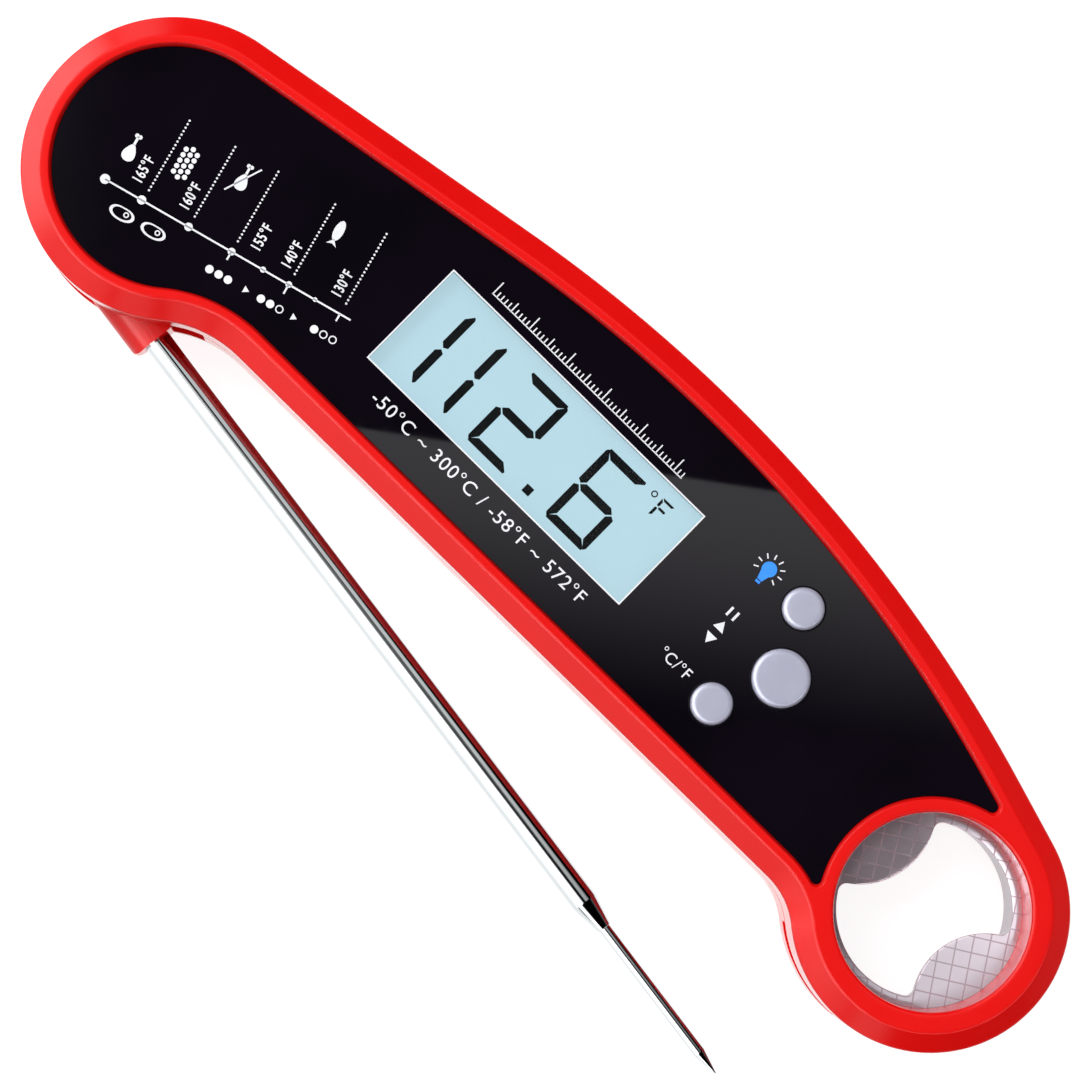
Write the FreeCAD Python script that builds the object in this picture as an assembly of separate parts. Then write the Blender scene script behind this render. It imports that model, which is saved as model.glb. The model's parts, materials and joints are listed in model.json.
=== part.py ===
import FreeCAD, Part
import math
import os

from FreeCAD import Vector

# Folding probe thermometer with a bottle opener.  Millimetres.
# Z is up, out of the display face.  The origin is where the probe's pivot axis meets the rear face.
# X runs from the pivot to the opener ring, and Y towards the curved back edge.

# ---- case outline: head circle, crowned back edge, straight lower edge, opener ring ----
HEAD_R = 18.8
RING_X = 130.2
RING_R = 17.3
BACK_X = 69.0
BACK_CREST_Y = 27.9
BACK_R = 195.4
LOWER_Y = -11.0
HEAD_NECK_R = 15.6
RING_NECK_R = 9.6

# ---- case heights ----
CASE_H = 17.0
SPLIT_Z = 8.0
FLOOR_T = 1.8
WALL_T = 2.8
BEVEL_W = 2.6
BEVEL_H = 2.0
LIP_W = 0.9
PANEL_INSET = 3.9
PANEL_TOP_Z = 16.3
PANEL_T = 1.5
WEB_T = 1.5
RING_RIM_R = 14.15
RING_WALL_R = 18.4
RING_HOLE_R = 12.2
CORNER_R = 0.7

# ---- pivot ----
HUB_R = 16.4
HUB_GAP = 0.3
HUB_BOTTOM_Z = 3.2
HUB_TOP_Z = 9.8
POCKET_R = 16.7
HUB_WALL_R = 20.2
BUSH_R = 4.5
BUSH_BORE_R = 3.4
BUSH_BOTTOM_Z = 1.2
BUSH_TOP_Z = 12.7
DECK_TOP_Z = 11.9
CLIP_T = 0.6
RING_SEAT_R = 3.9
RUNNING_FIT = 0.05
WASHER_R = 7.4
WASHER_RECESS = 0.6
PIVOT_SEAL_R = 13.9
SEAL_R = 0.6
SEAL_GROOVE_W = 1.3
SWEEP_R = 24.0
SWEEP_FROM = 84.0
SWEEP_TO = 324.0
HEEL_R = 18.05
HEEL_FROM = 57.0

# ---- probe ----
PROBE_ANGLE = -8.2
PROBE_OFFSET = 14.35
PROBE_Z = 6.5
ARM_EDGE = 17.7
ARM_END = 14.8
ARM_INNER = 11.5
ARM_CORNER_R = 0.9
ARM_ROUND_R = 2.4
ARM_HEEL_ANGLE = -118.0
ARM_ROOT_R = 10.0
WELL_R = 11.2
HUB_COVER_R = 12.6
HUB_COVER_T = 1.2
MAGNET_SPOT = (14.6, 0.0)
HUB_MAGNET_R = 1.2
LEAD_LANDING = Vector(2.5, -8.2, 6.5)
LEAD_WAY_R = 1.6
LEAD_R = 0.2
LEAD_TURN = 0.5
BEAD_LEN = 3.0
CASE_LEAD_R = 0.25
CASE_LEAD_Z = 13.0
CASE_LEAD_END_X = 25.0
TUBE_R = 1.75
TUBE_BORE_R = 1.4
TUBE_START = 5.0
TUBE_END = 102.6
TAPER_LEN = 4.1
NEEDLE_R = 0.8
NEEDLE_BORE_R = 0.5
POINT_LEN = 3.3
PROBE_LEN = 129.5
NOTCH_X = (118.5, 131.5)
NOTCH_HALF_Y = 1.15
NOTCH_HALF_Z = 1.3

# ---- display ----
WINDOW_X = (33.35, 76.3)
WINDOW_Y = (0.1, 15.0)
GLASS_T = 0.7
LCD_TOP_Z = 13.9
LCD_MARGIN = 1.0
GUIDE_T = 1.5
BOARD_Z = 8.6
BOARD_T = 1.0
BOARD_EDGE = 1.3
BOARD_END_X = 106.0

# ---- buttons: x, y, diameter ----
BUTTONS = {
    "light": (92.96, 15.49, 5.25),
    "hold": (96.96, 7.44, 7.3),
    "unit": (93.01, -0.75, 5.25),
}
BUTTON_TOP_Z = 17.3
BUTTON_ROUND = 0.75
BUTTON_CLEAR = 0.12
FLANGE_Z = (12.2, 13.2)
FLANGE_W = 0.7
DOME_Z = (9.9, 12.1)

# ---- opener insert ----
OPENER_Z = (1.5, 10.0)
OPENER_PLATE_T = 2.0
OPENER_BORE_R = 11.0
OPENER_FLANGE_R = 13.1
OPENER_FLANGE_T = 1.2
TAB_ANGLE = -13.5
TAB_CENTRE = 14.65
TAB_R = 9.35
TAB_FILLET_R = 1.1

# ---- battery ----
CELL = (96.5, 6.0)
CELL_R = 10.0
CELL_T = 3.2
CELL_BOTTOM_Z = 2.9
COVER_R = 12.2
COVER_T = 1.0
COVER_BORE_R = 11.0
COVER_PLUG_R = 10.0
COVER_GAP = 0.15
COVER_RIM_R = 0.25
COIN_SLOT_HALF = (8.0, 0.95)
LUG_R = 11.9
LUG_Z = (1.9, 2.55)
LUG_HALF_ANGLE = 9.0
UNLOCK_ANGLE = 50.0
LEDGE_TOP_Z = 1.75
LUG_TRACK_TOP_Z = 2.75
COLLAR_R = 13.4

# ---- fixings and magnets ----
CASE_SCREWS = ((26.5, -4.6), (26.8, 17.9), (84.6, -5.0), (111.2, 15.2), (111.0, -4.6))
SCREW_SINK = 0.3
SCREW_R = 1.1
SCREW_HEAD_R = 2.1
SCREW_HEAD_T = 1.4
SCREW_TIP_Z = 12.2
BOSS_R = 2.7
MAGNETS = ((44.0, 8.0), (68.0, 8.0))
MAGNET_R = 6.0
MAGNET_T = 2.2
MAGNET_SKIN = 0.8


def polar(centre, radius, degrees):
    """The point on a circle at an angle from +X."""
    a = math.radians(degrees)
    return centre[0] + radius * math.cos(a), centre[1] + radius * math.sin(a)


def angle_of(centre, point):
    """The direction from centre to point, in degrees."""
    return math.degrees(math.atan2(point[1] - centre[1], point[0] - centre[0]))


def tangent_normal(centre_a, radius_a, centre_b, radius_b, side):
    """The outward direction, in degrees, of the line that touches two circles on their outer side."""
    span = math.hypot(centre_a[0] - centre_b[0], centre_a[1] - centre_b[1])
    half = math.degrees(math.acos((radius_b - radius_a) / span))
    return angle_of(centre_b, centre_a) + side * half


def meet(centre_a, radius_a, centre_b, radius_b, side):
    """Where two circles cross, on one side of the line from a to b."""
    span = math.hypot(centre_b[0] - centre_a[0], centre_b[1] - centre_a[1])
    cosine = (radius_a**2 + span**2 - radius_b**2) / (2 * radius_a * span)
    return polar(centre_a, radius_a, angle_of(centre_a, centre_b) + side * math.degrees(math.acos(cosine)))


def arc(centre, radius, start, end, z):
    """An arc from one angle to another, either way round."""
    points = [polar(centre, radius, start + (end - start) * share) for share in (0, 0.5, 1)]
    return Part.Arc(*[Vector(x, y, z) for x, y in points]).toShape()


def loop(pieces, z):
    """A closed wire of arcs (centre, radius, start, end), each joined to the next by a straight line."""
    edges = []
    for index, piece in enumerate(pieces):
        following = pieces[(index + 1) % len(pieces)]
        edges.append(arc(*piece, z))
        here = Vector(*polar(piece[0], piece[1], piece[3]), z)
        there = Vector(*polar(following[0], following[1], following[2]), z)
        if here.distanceToPoint(there) > 1e-4:
            edges.append(Part.LineSegment(here, there).toShape())
    return Part.Wire(edges)


HEAD = (0.0, 0.0)
RING = (RING_X, 0.0)
BACK = (BACK_X, BACK_CREST_Y - BACK_R)
HEAD_TANGENT = tangent_normal(HEAD, HEAD_R, BACK, BACK_R, -1)
RING_TANGENT = tangent_normal(RING, RING_R, BACK, BACK_R, 1)
HEAD_NECK_Y = LOWER_Y - HEAD_NECK_R
RING_NECK_Y = LOWER_Y - RING_NECK_R
HEAD_NECK = (math.sqrt((HEAD_R + HEAD_NECK_R) ** 2 - HEAD_NECK_Y**2), HEAD_NECK_Y)
RING_NECK = (RING_X - math.sqrt((RING_R + RING_NECK_R) ** 2 - RING_NECK_Y**2), RING_NECK_Y)
HEAD_TOUCH = angle_of(HEAD, HEAD_NECK)
RING_TOUCH = angle_of(RING, RING_NECK)


def case_pieces(inset):
    """The case outline, moved inwards by inset, anticlockwise from the ring."""
    return [
        (RING, RING_R - inset, RING_TOUCH, RING_TANGENT),
        (BACK, BACK_R - inset, RING_TANGENT, HEAD_TANGENT),
        (HEAD, HEAD_R - inset, HEAD_TANGENT, HEAD_TOUCH + 360),
        (HEAD_NECK, HEAD_NECK_R + inset, HEAD_TOUCH + 180, 90),
        (RING_NECK, RING_NECK_R + inset, 90, RING_TOUCH + 180),
    ]


def panel_pieces(inset, rim_r, corner_r):
    """The display panel: the case outline moved inwards, stopped at an arc round the opener ring."""
    reach = rim_r + corner_r
    upper_turn = math.degrees(math.acos((RING_R - inset - corner_r) / reach))
    upper = polar(RING, reach, RING_TANGENT + upper_turn)
    lower = meet(RING_NECK, RING_NECK_R + inset + corner_r, RING, reach, 1)
    return [
        (upper, corner_r, angle_of(upper, RING), RING_TANGENT),
        (BACK, BACK_R - inset, RING_TANGENT, HEAD_TANGENT),
        (HEAD, HEAD_R - inset, HEAD_TANGENT, HEAD_TOUCH + 360),
        (HEAD_NECK, HEAD_NECK_R + inset, HEAD_TOUCH + 180, 90),
        (RING_NECK, RING_NECK_R + inset, 90, angle_of(RING_NECK, lower)),
        (lower, corner_r, angle_of(lower, RING_NECK), angle_of(lower, RING)),
        (RING, rim_r, angle_of(RING, lower) + 360, angle_of(RING, upper)),
    ]


def prism(pieces, bottom, top):
    """A straight solid over an outline."""
    return Part.Face(loop(pieces, bottom)).extrude(Vector(0, 0, top - bottom))


def taper(lower_pieces, bottom, upper_pieces, top):
    """A solid whose outline changes evenly with height."""
    return Part.makeLoft([loop(lower_pieces, bottom), loop(upper_pieces, top)], True, True)


def rod(x, y, radius, bottom, top):
    return Part.makeCylinder(radius, top - bottom, Vector(x, y, bottom))


def tube(x, y, outer_r, inner_r, bottom, top):
    return rod(x, y, outer_r, bottom, top).cut(rod(x, y, inner_r, bottom - 1, top + 1))


def block(xs, ys, zs):
    return Part.makeBox(xs[1] - xs[0], ys[1] - ys[0], zs[1] - zs[0], Vector(xs[0], ys[0], zs[0]))


def sector(centre, radius, start, end, bottom, top):
    """A wedge of a disc, from one direction anticlockwise to another."""
    wedge = Part.makeCylinder(radius, top - bottom, Vector(0, 0, bottom), Vector(0, 0, 1), end - start)
    wedge.rotate(Vector(0, 0, 0), Vector(0, 0, 1), start)
    wedge.translate(Vector(centre[0], centre[1], 0))
    return wedge


def rounded_block(xs, ys, zs, radius):
    """A box with rounded upright edges."""
    shape = block(xs, ys, zs)
    upright = [e for e in shape.Edges if abs(e.tangentAt(e.FirstParameter).z) > 0.99]
    return shape.makeFillet(radius, upright)


def grown_window(margin):
    """The display window's x and y ranges with a margin all round."""
    xs = (WINDOW_X[0] - margin, WINDOW_X[1] + margin)
    ys = (WINDOW_Y[0] - margin, WINDOW_Y[1] + margin)
    return xs, ys


def cavity(grow, bottom, top, hub_r=HUB_WALL_R):
    """The space inside the case walls, clear of the hub and the opener ring."""
    space = prism(case_pieces(WALL_T - grow), bottom, top)
    space = space.cut(rod(*RING, RING_WALL_R - grow, bottom - 1, top + 1))
    if hub_r:
        space = space.cut(rod(*HEAD, hub_r - grow, bottom - 1, top + 1))
    middle = [s for s in space.Solids if s.BoundBox.XMin < BACK_X < s.BoundBox.XMax]
    return middle[0]


def hub_space():
    """The hub's round pocket, cut through to the outside where the arm sweeps, and widened for its heel."""
    bottom, top = HUB_BOTTOM_Z - HUB_GAP, HUB_TOP_Z + HUB_GAP
    swept = sector(HEAD, SWEEP_R, SWEEP_FROM, SWEEP_TO, bottom, top)
    heel = sector(HEAD, HEEL_R, HEEL_FROM, SWEEP_FROM, bottom, top)
    return rod(*HEAD, POCKET_R, bottom, top).fuse([swept, heel])


def seal_groove(bottom, top):
    """The ring-shaped groove that holds a pivot seal."""
    half = SEAL_GROOVE_W / 2
    return tube(*HEAD, PIVOT_SEAL_R + half, PIVOT_SEAL_R - half, bottom, top)


def bosses(bottom, top):
    """The screw posts, each joined to the case by its own foot."""
    return [rod(x, y, BOSS_R, bottom, top) for x, y in CASE_SCREWS]


def front_shell():
    """The upper case half: bevelled rim, panel recess, ring and the deck over the hub."""
    rim_z = CASE_H - BEVEL_H
    body = prism(case_pieces(0), SPLIT_Z, rim_z)
    body = body.fuse(taper(case_pieces(0), rim_z, case_pieces(BEVEL_W), CASE_H))
    panel_bottom = PANEL_TOP_Z - PANEL_T
    body = body.cut(prism(panel_pieces(PANEL_INSET, RING_RIM_R, CORNER_R), panel_bottom, PANEL_TOP_Z))
    lip = BEVEL_W + LIP_W
    flare = PANEL_INSET - lip
    mouth = panel_pieces(lip, RING_RIM_R - flare, CORNER_R + flare)
    body = body.cut(taper(panel_pieces(PANEL_INSET, RING_RIM_R, CORNER_R), PANEL_TOP_Z, mouth, CASE_H))
    web_bottom = panel_bottom - WEB_T
    body = body.cut(cavity(0, DECK_TOP_Z, web_bottom, hub_r=0))
    body = body.cut(cavity(0, SPLIT_Z - 1, DECK_TOP_Z))
    body = body.cut(hub_space())
    body = body.cut(rod(*HEAD, BUSH_R, SPLIT_Z, DECK_TOP_Z + 1))
    ceiling_z = HUB_TOP_Z + HUB_GAP
    body = body.cut(seal_groove(ceiling_z - 1, ceiling_z + 1.0))
    body = body.cut(rod(*RING, RING_HOLE_R, SPLIT_Z - 1, CASE_H + 1))
    body = body.cut(rod(*RING, OPENER_FLANGE_R, SPLIT_Z - 1, SPLIT_Z + OPENER_FLANGE_T / 2))
    body = body.cut(block(*grown_window(LCD_MARGIN), (web_bottom - 1, panel_bottom + 1)))
    for x, y, diameter in BUTTONS.values():
        body = body.cut(rod(x, y, diameter / 2 + BUTTON_CLEAR, web_bottom - 1, panel_bottom + 1))
    body = body.fuse(bosses(SPLIT_Z + 0.1, web_bottom + 0.5))
    for x, y in CASE_SCREWS:
        body = body.cut(rod(x, y, SCREW_R, SPLIT_Z - 1, SCREW_TIP_Z))
    ring_edge = [e for e in body.Edges if is_ring_mouth(e, CASE_H)]
    return body.removeSplitter().makeFillet(0.45, ring_edge) if ring_edge else body.removeSplitter()


def is_ring_mouth(edge, z):
    """Whether an edge is the opener hole's edge at a height."""
    if not isinstance(edge.Curve, Part.Circle):
        return False
    centre = edge.Curve.Center
    on_axis = math.hypot(centre.x - RING_X, centre.y) < 0.01
    return on_axis and abs(edge.Curve.Radius - RING_HOLE_R) < 0.01 and abs(centre.z - z) < 0.01


def rear_shell():
    """The lower case half: rounded rear edge, battery opening, magnet pockets and probe notch."""
    edge_z = 1.6
    body = prism(case_pieces(0), edge_z, SPLIT_Z)
    body = body.fuse(taper(case_pieces(0.45), 0.5, case_pieces(0), edge_z))
    body = body.fuse(taper(case_pieces(1.5), 0, case_pieces(0.45), 0.5))
    body = body.cut(cavity(0, FLOOR_T, SPLIT_Z + 1))
    body = body.cut(hub_space())
    body = body.cut(rod(*HEAD, BUSH_R, BUSH_BOTTOM_Z, SPLIT_Z))
    floor_z = HUB_BOTTOM_Z - HUB_GAP
    body = body.cut(tube(*HEAD, WASHER_R + 0.2, BUSH_R + 0.3, floor_z - WASHER_RECESS, SPLIT_Z))
    body = body.cut(seal_groove(floor_z - 1.0, floor_z + 1))
    body = body.cut(rod(*RING, RING_HOLE_R, OPENER_Z[0], SPLIT_Z + 1))
    body = body.cut(rod(*RING, OPENER_BORE_R + 0.5, -1, OPENER_Z[0] + 1))
    body = body.cut(rod(*RING, OPENER_FLANGE_R, SPLIT_Z - OPENER_FLANGE_T / 2, SPLIT_Z + 1))
    body = body.fuse(rod(*CELL, COLLAR_R, 0.2, CELL_BOTTOM_Z + 2.0))
    body = body.cut(rod(*CELL, COVER_R + COVER_GAP, -1, COVER_T + COVER_GAP))
    body = body.cut(rod(*CELL, COVER_BORE_R, -1, SPLIT_Z))
    body = body.cut(rod(*CELL, LUG_R + COVER_GAP, LEDGE_TOP_Z, LUG_TRACK_TOP_Z))
    for turn in (0, 180):
        middle = turn - UNLOCK_ANGLE
        half = LUG_HALF_ANGLE + 1.5
        body = body.cut(sector(CELL, LUG_R + COVER_GAP, middle - half, middle + half, 0.5, LEDGE_TOP_Z + 0.1))
    for x, y in MAGNETS:
        body = body.fuse(rod(x, y, MAGNET_R + 1.2, 0.2, MAGNET_SKIN + MAGNET_T))
        body = body.cut(rod(x, y, MAGNET_R, MAGNET_SKIN, SPLIT_Z))
    body = body.fuse(bosses(1.0, SPLIT_Z))
    for x, y in CASE_SCREWS:
        body = body.cut(rod(x, y, SCREW_R + 0.2, -1, SPLIT_Z + 1))
        body = body.cut(rod(x, y, SCREW_HEAD_R + 0.2, -1, SCREW_SINK + SCREW_HEAD_T))
    notch_ys = (-RING_R - 1, -PROBE_OFFSET + NOTCH_HALF_Y)
    body = body.cut(block(NOTCH_X, notch_ys, (PROBE_Z - NOTCH_HALF_Z, PROBE_Z + NOTCH_HALF_Z)))
    groove = cavity(1.5, SPLIT_Z - 0.7, SPLIT_Z + 1).cut(cavity(0.7, SPLIT_Z - 1, SPLIT_Z + 2))
    return body.cut(groove).removeSplitter()


def case_seal():
    """The sealing cord in the rear shell's groove."""
    outer = cavity(1.45, SPLIT_Z - 0.7, SPLIT_Z)
    return outer.cut(cavity(0.75, SPLIT_Z - 1, SPLIT_Z + 1))


def face_panel():
    """The black front panel, with the window's opening and the button holes."""
    panel_bottom = PANEL_TOP_Z - PANEL_T
    clear = 0.08
    panel = prism(panel_pieces(PANEL_INSET + clear, RING_RIM_R + clear, CORNER_R), panel_bottom, PANEL_TOP_Z)
    panel = panel.cut(block(*grown_window(0), (panel_bottom - 1, CASE_H)))
    for x, y, diameter in BUTTONS.values():
        panel = panel.cut(rod(x, y, diameter / 2 + BUTTON_CLEAR, panel_bottom - 1, CASE_H))
    return panel


def display_window():
    """The clear pane in the panel's opening."""
    return block(*grown_window(0), (PANEL_TOP_Z - PANEL_T, PANEL_TOP_Z))


def lcd_stack():
    """The display's glasses, polariser, light guide, frame and contact strips, on the circuit board."""
    xs, ys = grown_window(0.6)
    wide_ys = (ys[0] - 2.2, ys[1] + 2.2)
    front_bottom = LCD_TOP_Z - GLASS_T
    rear_bottom = front_bottom - GLASS_T
    guide_bottom = rear_bottom - GUIDE_T
    board_top = BOARD_Z + BOARD_T
    frame = block((xs[0] - 1.5, xs[1] + 4.5), (wide_ys[0] - 0.6, wide_ys[1] + 0.6), (board_top, rear_bottom))
    frame = frame.cut(block(xs, ys, (guide_bottom, LCD_TOP_Z)))
    frame = frame.cut(block((xs[1], xs[1] + 3.0), (5.8, 9.3), (board_top - 1, LCD_TOP_Z)))
    strips = []
    for low, high in ((wide_ys[0], ys[0] - 0.5), (ys[1] + 0.5, wide_ys[1])):
        strips.append(block((xs[0] + 1, xs[1] - 1), (low + 0.2, high - 0.2), (board_top, rear_bottom)))
        frame = frame.cut(block((xs[0] + 1, xs[1] - 1), (low + 0.2, high - 0.2), (board_top - 1, LCD_TOP_Z)))
    return {
        "lcd_polariser": block(xs, ys, (LCD_TOP_Z, LCD_TOP_Z + 0.2)),
        "lcd_front_glass": block(xs, ys, (front_bottom, LCD_TOP_Z)),
        "lcd_rear_glass": block((xs[0], xs[1]), wide_ys, (rear_bottom, front_bottom)),
        "backlight_guide": block(xs, ys, (guide_bottom, rear_bottom)),
        "backlight_led": rounded_block(
            (xs[1] + 0.2, xs[1] + 2.6), (6.0, 9.1), (board_top, board_top + 1.9), 0.3),
        "lcd_frame": frame,
        "zebra_strips": Part.Compound(strips),
    }


def circuit_board():
    """The board, shaped to the case, with holes for the case screws' posts."""
    board = cavity(-BOARD_EDGE, BOARD_Z, BOARD_Z + BOARD_T, hub_r=HUB_WALL_R + 1)
    board = board.cut(block((BOARD_END_X, RING_X), (-40, 40), (0, CASE_H)))
    for x, y in CASE_SCREWS:
        board = board.cut(rod(x, y, BOSS_R + 0.3, 0, CASE_H))
    return board


def board_parts():
    """The components on the underside of the board."""
    top = BOARD_Z
    chip = rounded_block((52.0, 60.0), (2.0, 10.0), (top - 1.6, top), 0.5)
    passives = []
    for index in range(8):
        x = 36.0 + 4.2 * index
        y = -3.4 if index % 2 else 16.4
        passives.append(block((x, x + 1.6), (y, y + 0.9), (top - 0.7, top)))
    switch = Part.makeCylinder(0.9, 9.0, Vector(24.5, 2.0, top - 1.0), Vector(0, 1, 0))
    crystal = rounded_block((72.0, 78.0), (2.0, 4.2), (top - 1.4, top), 0.8)
    return {
        "controller_chip": chip,
        "board_passives": Part.Compound(passives),
        "reed_switch": switch,
        "clock_crystal": crystal,
    }


def dome_switch(name):
    """The metal snap dome on the board under a button."""
    x, y, diameter = BUTTONS[name]
    board_top = BOARD_Z + BOARD_T
    return rod(x, y, diameter / 2 - 0.4, board_top, DOME_Z[0])


def button(name):
    """A flat-topped cap with a rounded rim, and a flange that stays under the front shell's web."""
    x, y, diameter = BUTTONS[name]
    cap = rod(x, y, diameter / 2, FLANGE_Z[0], BUTTON_TOP_Z)
    cap = cap.makeFillet(BUTTON_ROUND, [e for e in cap.Edges if e.BoundBox.ZMin > BUTTON_TOP_Z - 0.01])
    return cap.fuse(rod(x, y, diameter / 2 + FLANGE_W, *FLANGE_Z)).removeSplitter()


def button_dome(name):
    """The silicone return spring between a button and its switch: a hollow truncated cone."""
    x, y, diameter = BUTTONS[name]
    height = DOME_Z[1] - DOME_Z[0]
    foot = diameter / 2 + 0.5
    neck = diameter / 2 - 0.5
    outer = Part.makeCone(foot, neck, height, Vector(x, y, DOME_Z[0]))
    inner = Part.makeCone(foot - 0.5, neck - 0.5, height - 0.6, Vector(x, y, DOME_Z[0]))
    return outer.cut(inner)


def opener_mouth():
    """The opener's opening: the ring's bore with a round tab on two opposite sides, roots rounded."""
    pieces = []
    for turn in (0, 180):
        tab = polar(RING, TAB_CENTRE, TAB_ANGLE + turn)
        reach = TAB_R + TAB_FILLET_R
        first = meet(RING, OPENER_BORE_R - TAB_FILLET_R, tab, reach, -1)
        second = meet(RING, OPENER_BORE_R - TAB_FILLET_R, tab, reach, 1)
        toward_ring = TAB_ANGLE + turn + 180
        spread = abs((angle_of(tab, second) - toward_ring + 180) % 360 - 180)
        outer = abs((angle_of(RING, second) - TAB_ANGLE - turn + 180) % 360 - 180)
        start = TAB_ANGLE + turn - outer
        end = TAB_ANGLE + turn + outer
        pieces.append((first, TAB_FILLET_R, start, toward_ring + spread - 180))
        pieces.append((tab, TAB_R, toward_ring + spread, toward_ring - spread))
        pieces.append((second, TAB_FILLET_R, toward_ring - spread - 180, end))
        pieces.append((RING, OPENER_BORE_R, end, TAB_ANGLE + turn + 180 - outer))
    return pieces


def opener_insert():
    """The steel opener: a sleeve, a flange held between the shells, and a plate with two round tabs."""
    low, high = OPENER_Z
    plate_low = high - OPENER_PLATE_T
    flange_z = (SPLIT_Z - OPENER_FLANGE_T / 2, SPLIT_Z + OPENER_FLANGE_T / 2)
    body = rod(*RING, RING_HOLE_R, low, high).fuse(rod(*RING, OPENER_FLANGE_R, *flange_z))
    body = body.cut(rod(*RING, OPENER_BORE_R, low - 1, plate_low))
    return body.cut(prism(opener_mouth(), plate_low - 0.5, high + 1)).removeSplitter()


def battery_cover():
    """The coin-slot cover: flange, plug, slot and two bayonet lugs under the case's ledge."""
    cover = rod(*CELL, COVER_R, 0, COVER_T)
    cover = cover.makeChamfer(COVER_RIM_R, [e for e in cover.Edges if e.BoundBox.ZMax < 0.01])
    cover = cover.fuse(rod(*CELL, COVER_PLUG_R, 0.5, LUG_Z[1]))
    for turn in (0, 180):
        cover = cover.fuse(sector(CELL, LUG_R, turn - LUG_HALF_ANGLE, turn + LUG_HALF_ANGLE, *LUG_Z))
    slot_xs = (CELL[0] - COIN_SLOT_HALF[0], CELL[0] + COIN_SLOT_HALF[0])
    slot_ys = (CELL[1] - COIN_SLOT_HALF[1], CELL[1] + COIN_SLOT_HALF[1])
    return cover.cut(block(slot_xs, slot_ys, (-1, 1.0))).removeSplitter()


def cover_seal():
    """The battery cover's sealing ring, round its plug."""
    seal_r = (COVER_BORE_R - COVER_PLUG_R) / 2 - 0.08
    mean_r = (COVER_BORE_R + COVER_PLUG_R) / 2
    return Part.makeTorus(mean_r, seal_r, Vector(*CELL, COVER_T + seal_r + 0.02))


def battery_clips():
    """The sprung strip under the board and the side strip that touch the cell."""
    cell_top = CELL_BOTTOM_Z + CELL_T
    spring = block((CELL[0] - 6.0, CELL[0] + 6.0), (CELL[1] - 1.5, CELL[1] + 1.5), (cell_top, cell_top + 0.3))
    post = block((CELL[0] - 6.0, CELL[0] - 5.7), (CELL[1] - 1.5, CELL[1] + 1.5), (cell_top, BOARD_Z))
    spring = spring.fuse(post)
    side_y = CELL[1] + CELL_R
    side = block((CELL[0] - 2.0, CELL[0] + 2.0), (side_y, side_y + 0.3), (CELL_BOTTOM_Z + 2.2, BOARD_Z))
    return spring, side


def rod_between(start, end, radius):
    """A round rod from one place to another."""
    run = end - start
    return Part.makeCylinder(radius, run.Length, start, run)


def on_probe(along, aside=0.0):
    """A place along the probe's axis, drawn folded, with its axis along X."""
    return Vector(along, -PROBE_OFFSET + aside, PROBE_Z)


def set_to_rest(shape):
    """Turns a probe piece from its folded drawing to the part-open rest pose."""
    shape.rotate(Vector(0, 0, 0), Vector(0, 0, 1), PROBE_ANGLE)
    return shape


def arm_pieces():
    """The arm's plan beside the hub: heel, straight outer side, rounded end, and back inside the hub."""
    outer = (ARM_END - ARM_CORNER_R, -ARM_EDGE + ARM_CORNER_R)
    inner = (ARM_END - ARM_CORNER_R, -ARM_INNER - ARM_CORNER_R)
    return [
        (HEAD, ARM_EDGE, ARM_HEEL_ANGLE, -90),
        (outer, ARM_CORNER_R, -90, 0),
        (inner, ARM_CORNER_R, 0, 100),
        (HEAD, ARM_ROOT_R, -42, ARM_HEEL_ANGLE),
    ]


def arm():
    """The arm, with its two long outer edges rounded."""
    bar = block((-HUB_R, ARM_END), (-ARM_EDGE, 0), (HUB_BOTTOM_Z, HUB_TOP_Z))
    outer_long = [e for e in bar.Edges if e.BoundBox.YMax < -ARM_EDGE + 0.01 and e.BoundBox.XLength > 1]
    bar = bar.makeFillet(ARM_ROUND_R, outer_long)
    return bar.common(prism(arm_pieces(), HUB_BOTTOM_Z, HUB_TOP_Z))


def probe_hub():
    """The red moulded arm: hub disc, arm, bush bore, lead well, cover seat and magnet pocket."""
    bottom, top = HUB_BOTTOM_Z, HUB_TOP_Z
    hub = arm().fuse(rod(*HEAD, HUB_R, bottom, top)).removeSplitter()
    hub = hub.cut(rod(*HEAD, BUSH_R + RUNNING_FIT, bottom - 1, top + 1))
    hub = hub.cut(tube(*HEAD, WELL_R, BUSH_R + 1.2, bottom + 1.2, top + 1))
    hub = hub.cut(rod(*HEAD, HUB_COVER_R, top - HUB_COVER_T, top + 1))
    hub = hub.cut(rod(*MAGNET_SPOT, HUB_MAGNET_R, top - 2.2, top + 1))
    hub = hub.cut(rod_between(on_probe(TUBE_START), on_probe(ARM_END + 1), TUBE_R))
    hub = hub.cut(rod_between(on_probe(TUBE_START - LEAD_TURN, -0.8), LEAD_LANDING, LEAD_WAY_R))
    return set_to_rest(hub)


def hub_cover():
    """The ring that closes the hub's lead well."""
    return set_to_rest(tube(*HEAD, HUB_COVER_R, BUSH_R + RUNNING_FIT, HUB_TOP_Z - HUB_COVER_T, HUB_TOP_Z))


def hub_magnet():
    """The magnet that works the reed switch when the probe is folded."""
    return set_to_rest(rod(*MAGNET_SPOT, HUB_MAGNET_R, HUB_TOP_Z - 2.2, HUB_TOP_Z - 0.2))


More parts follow.
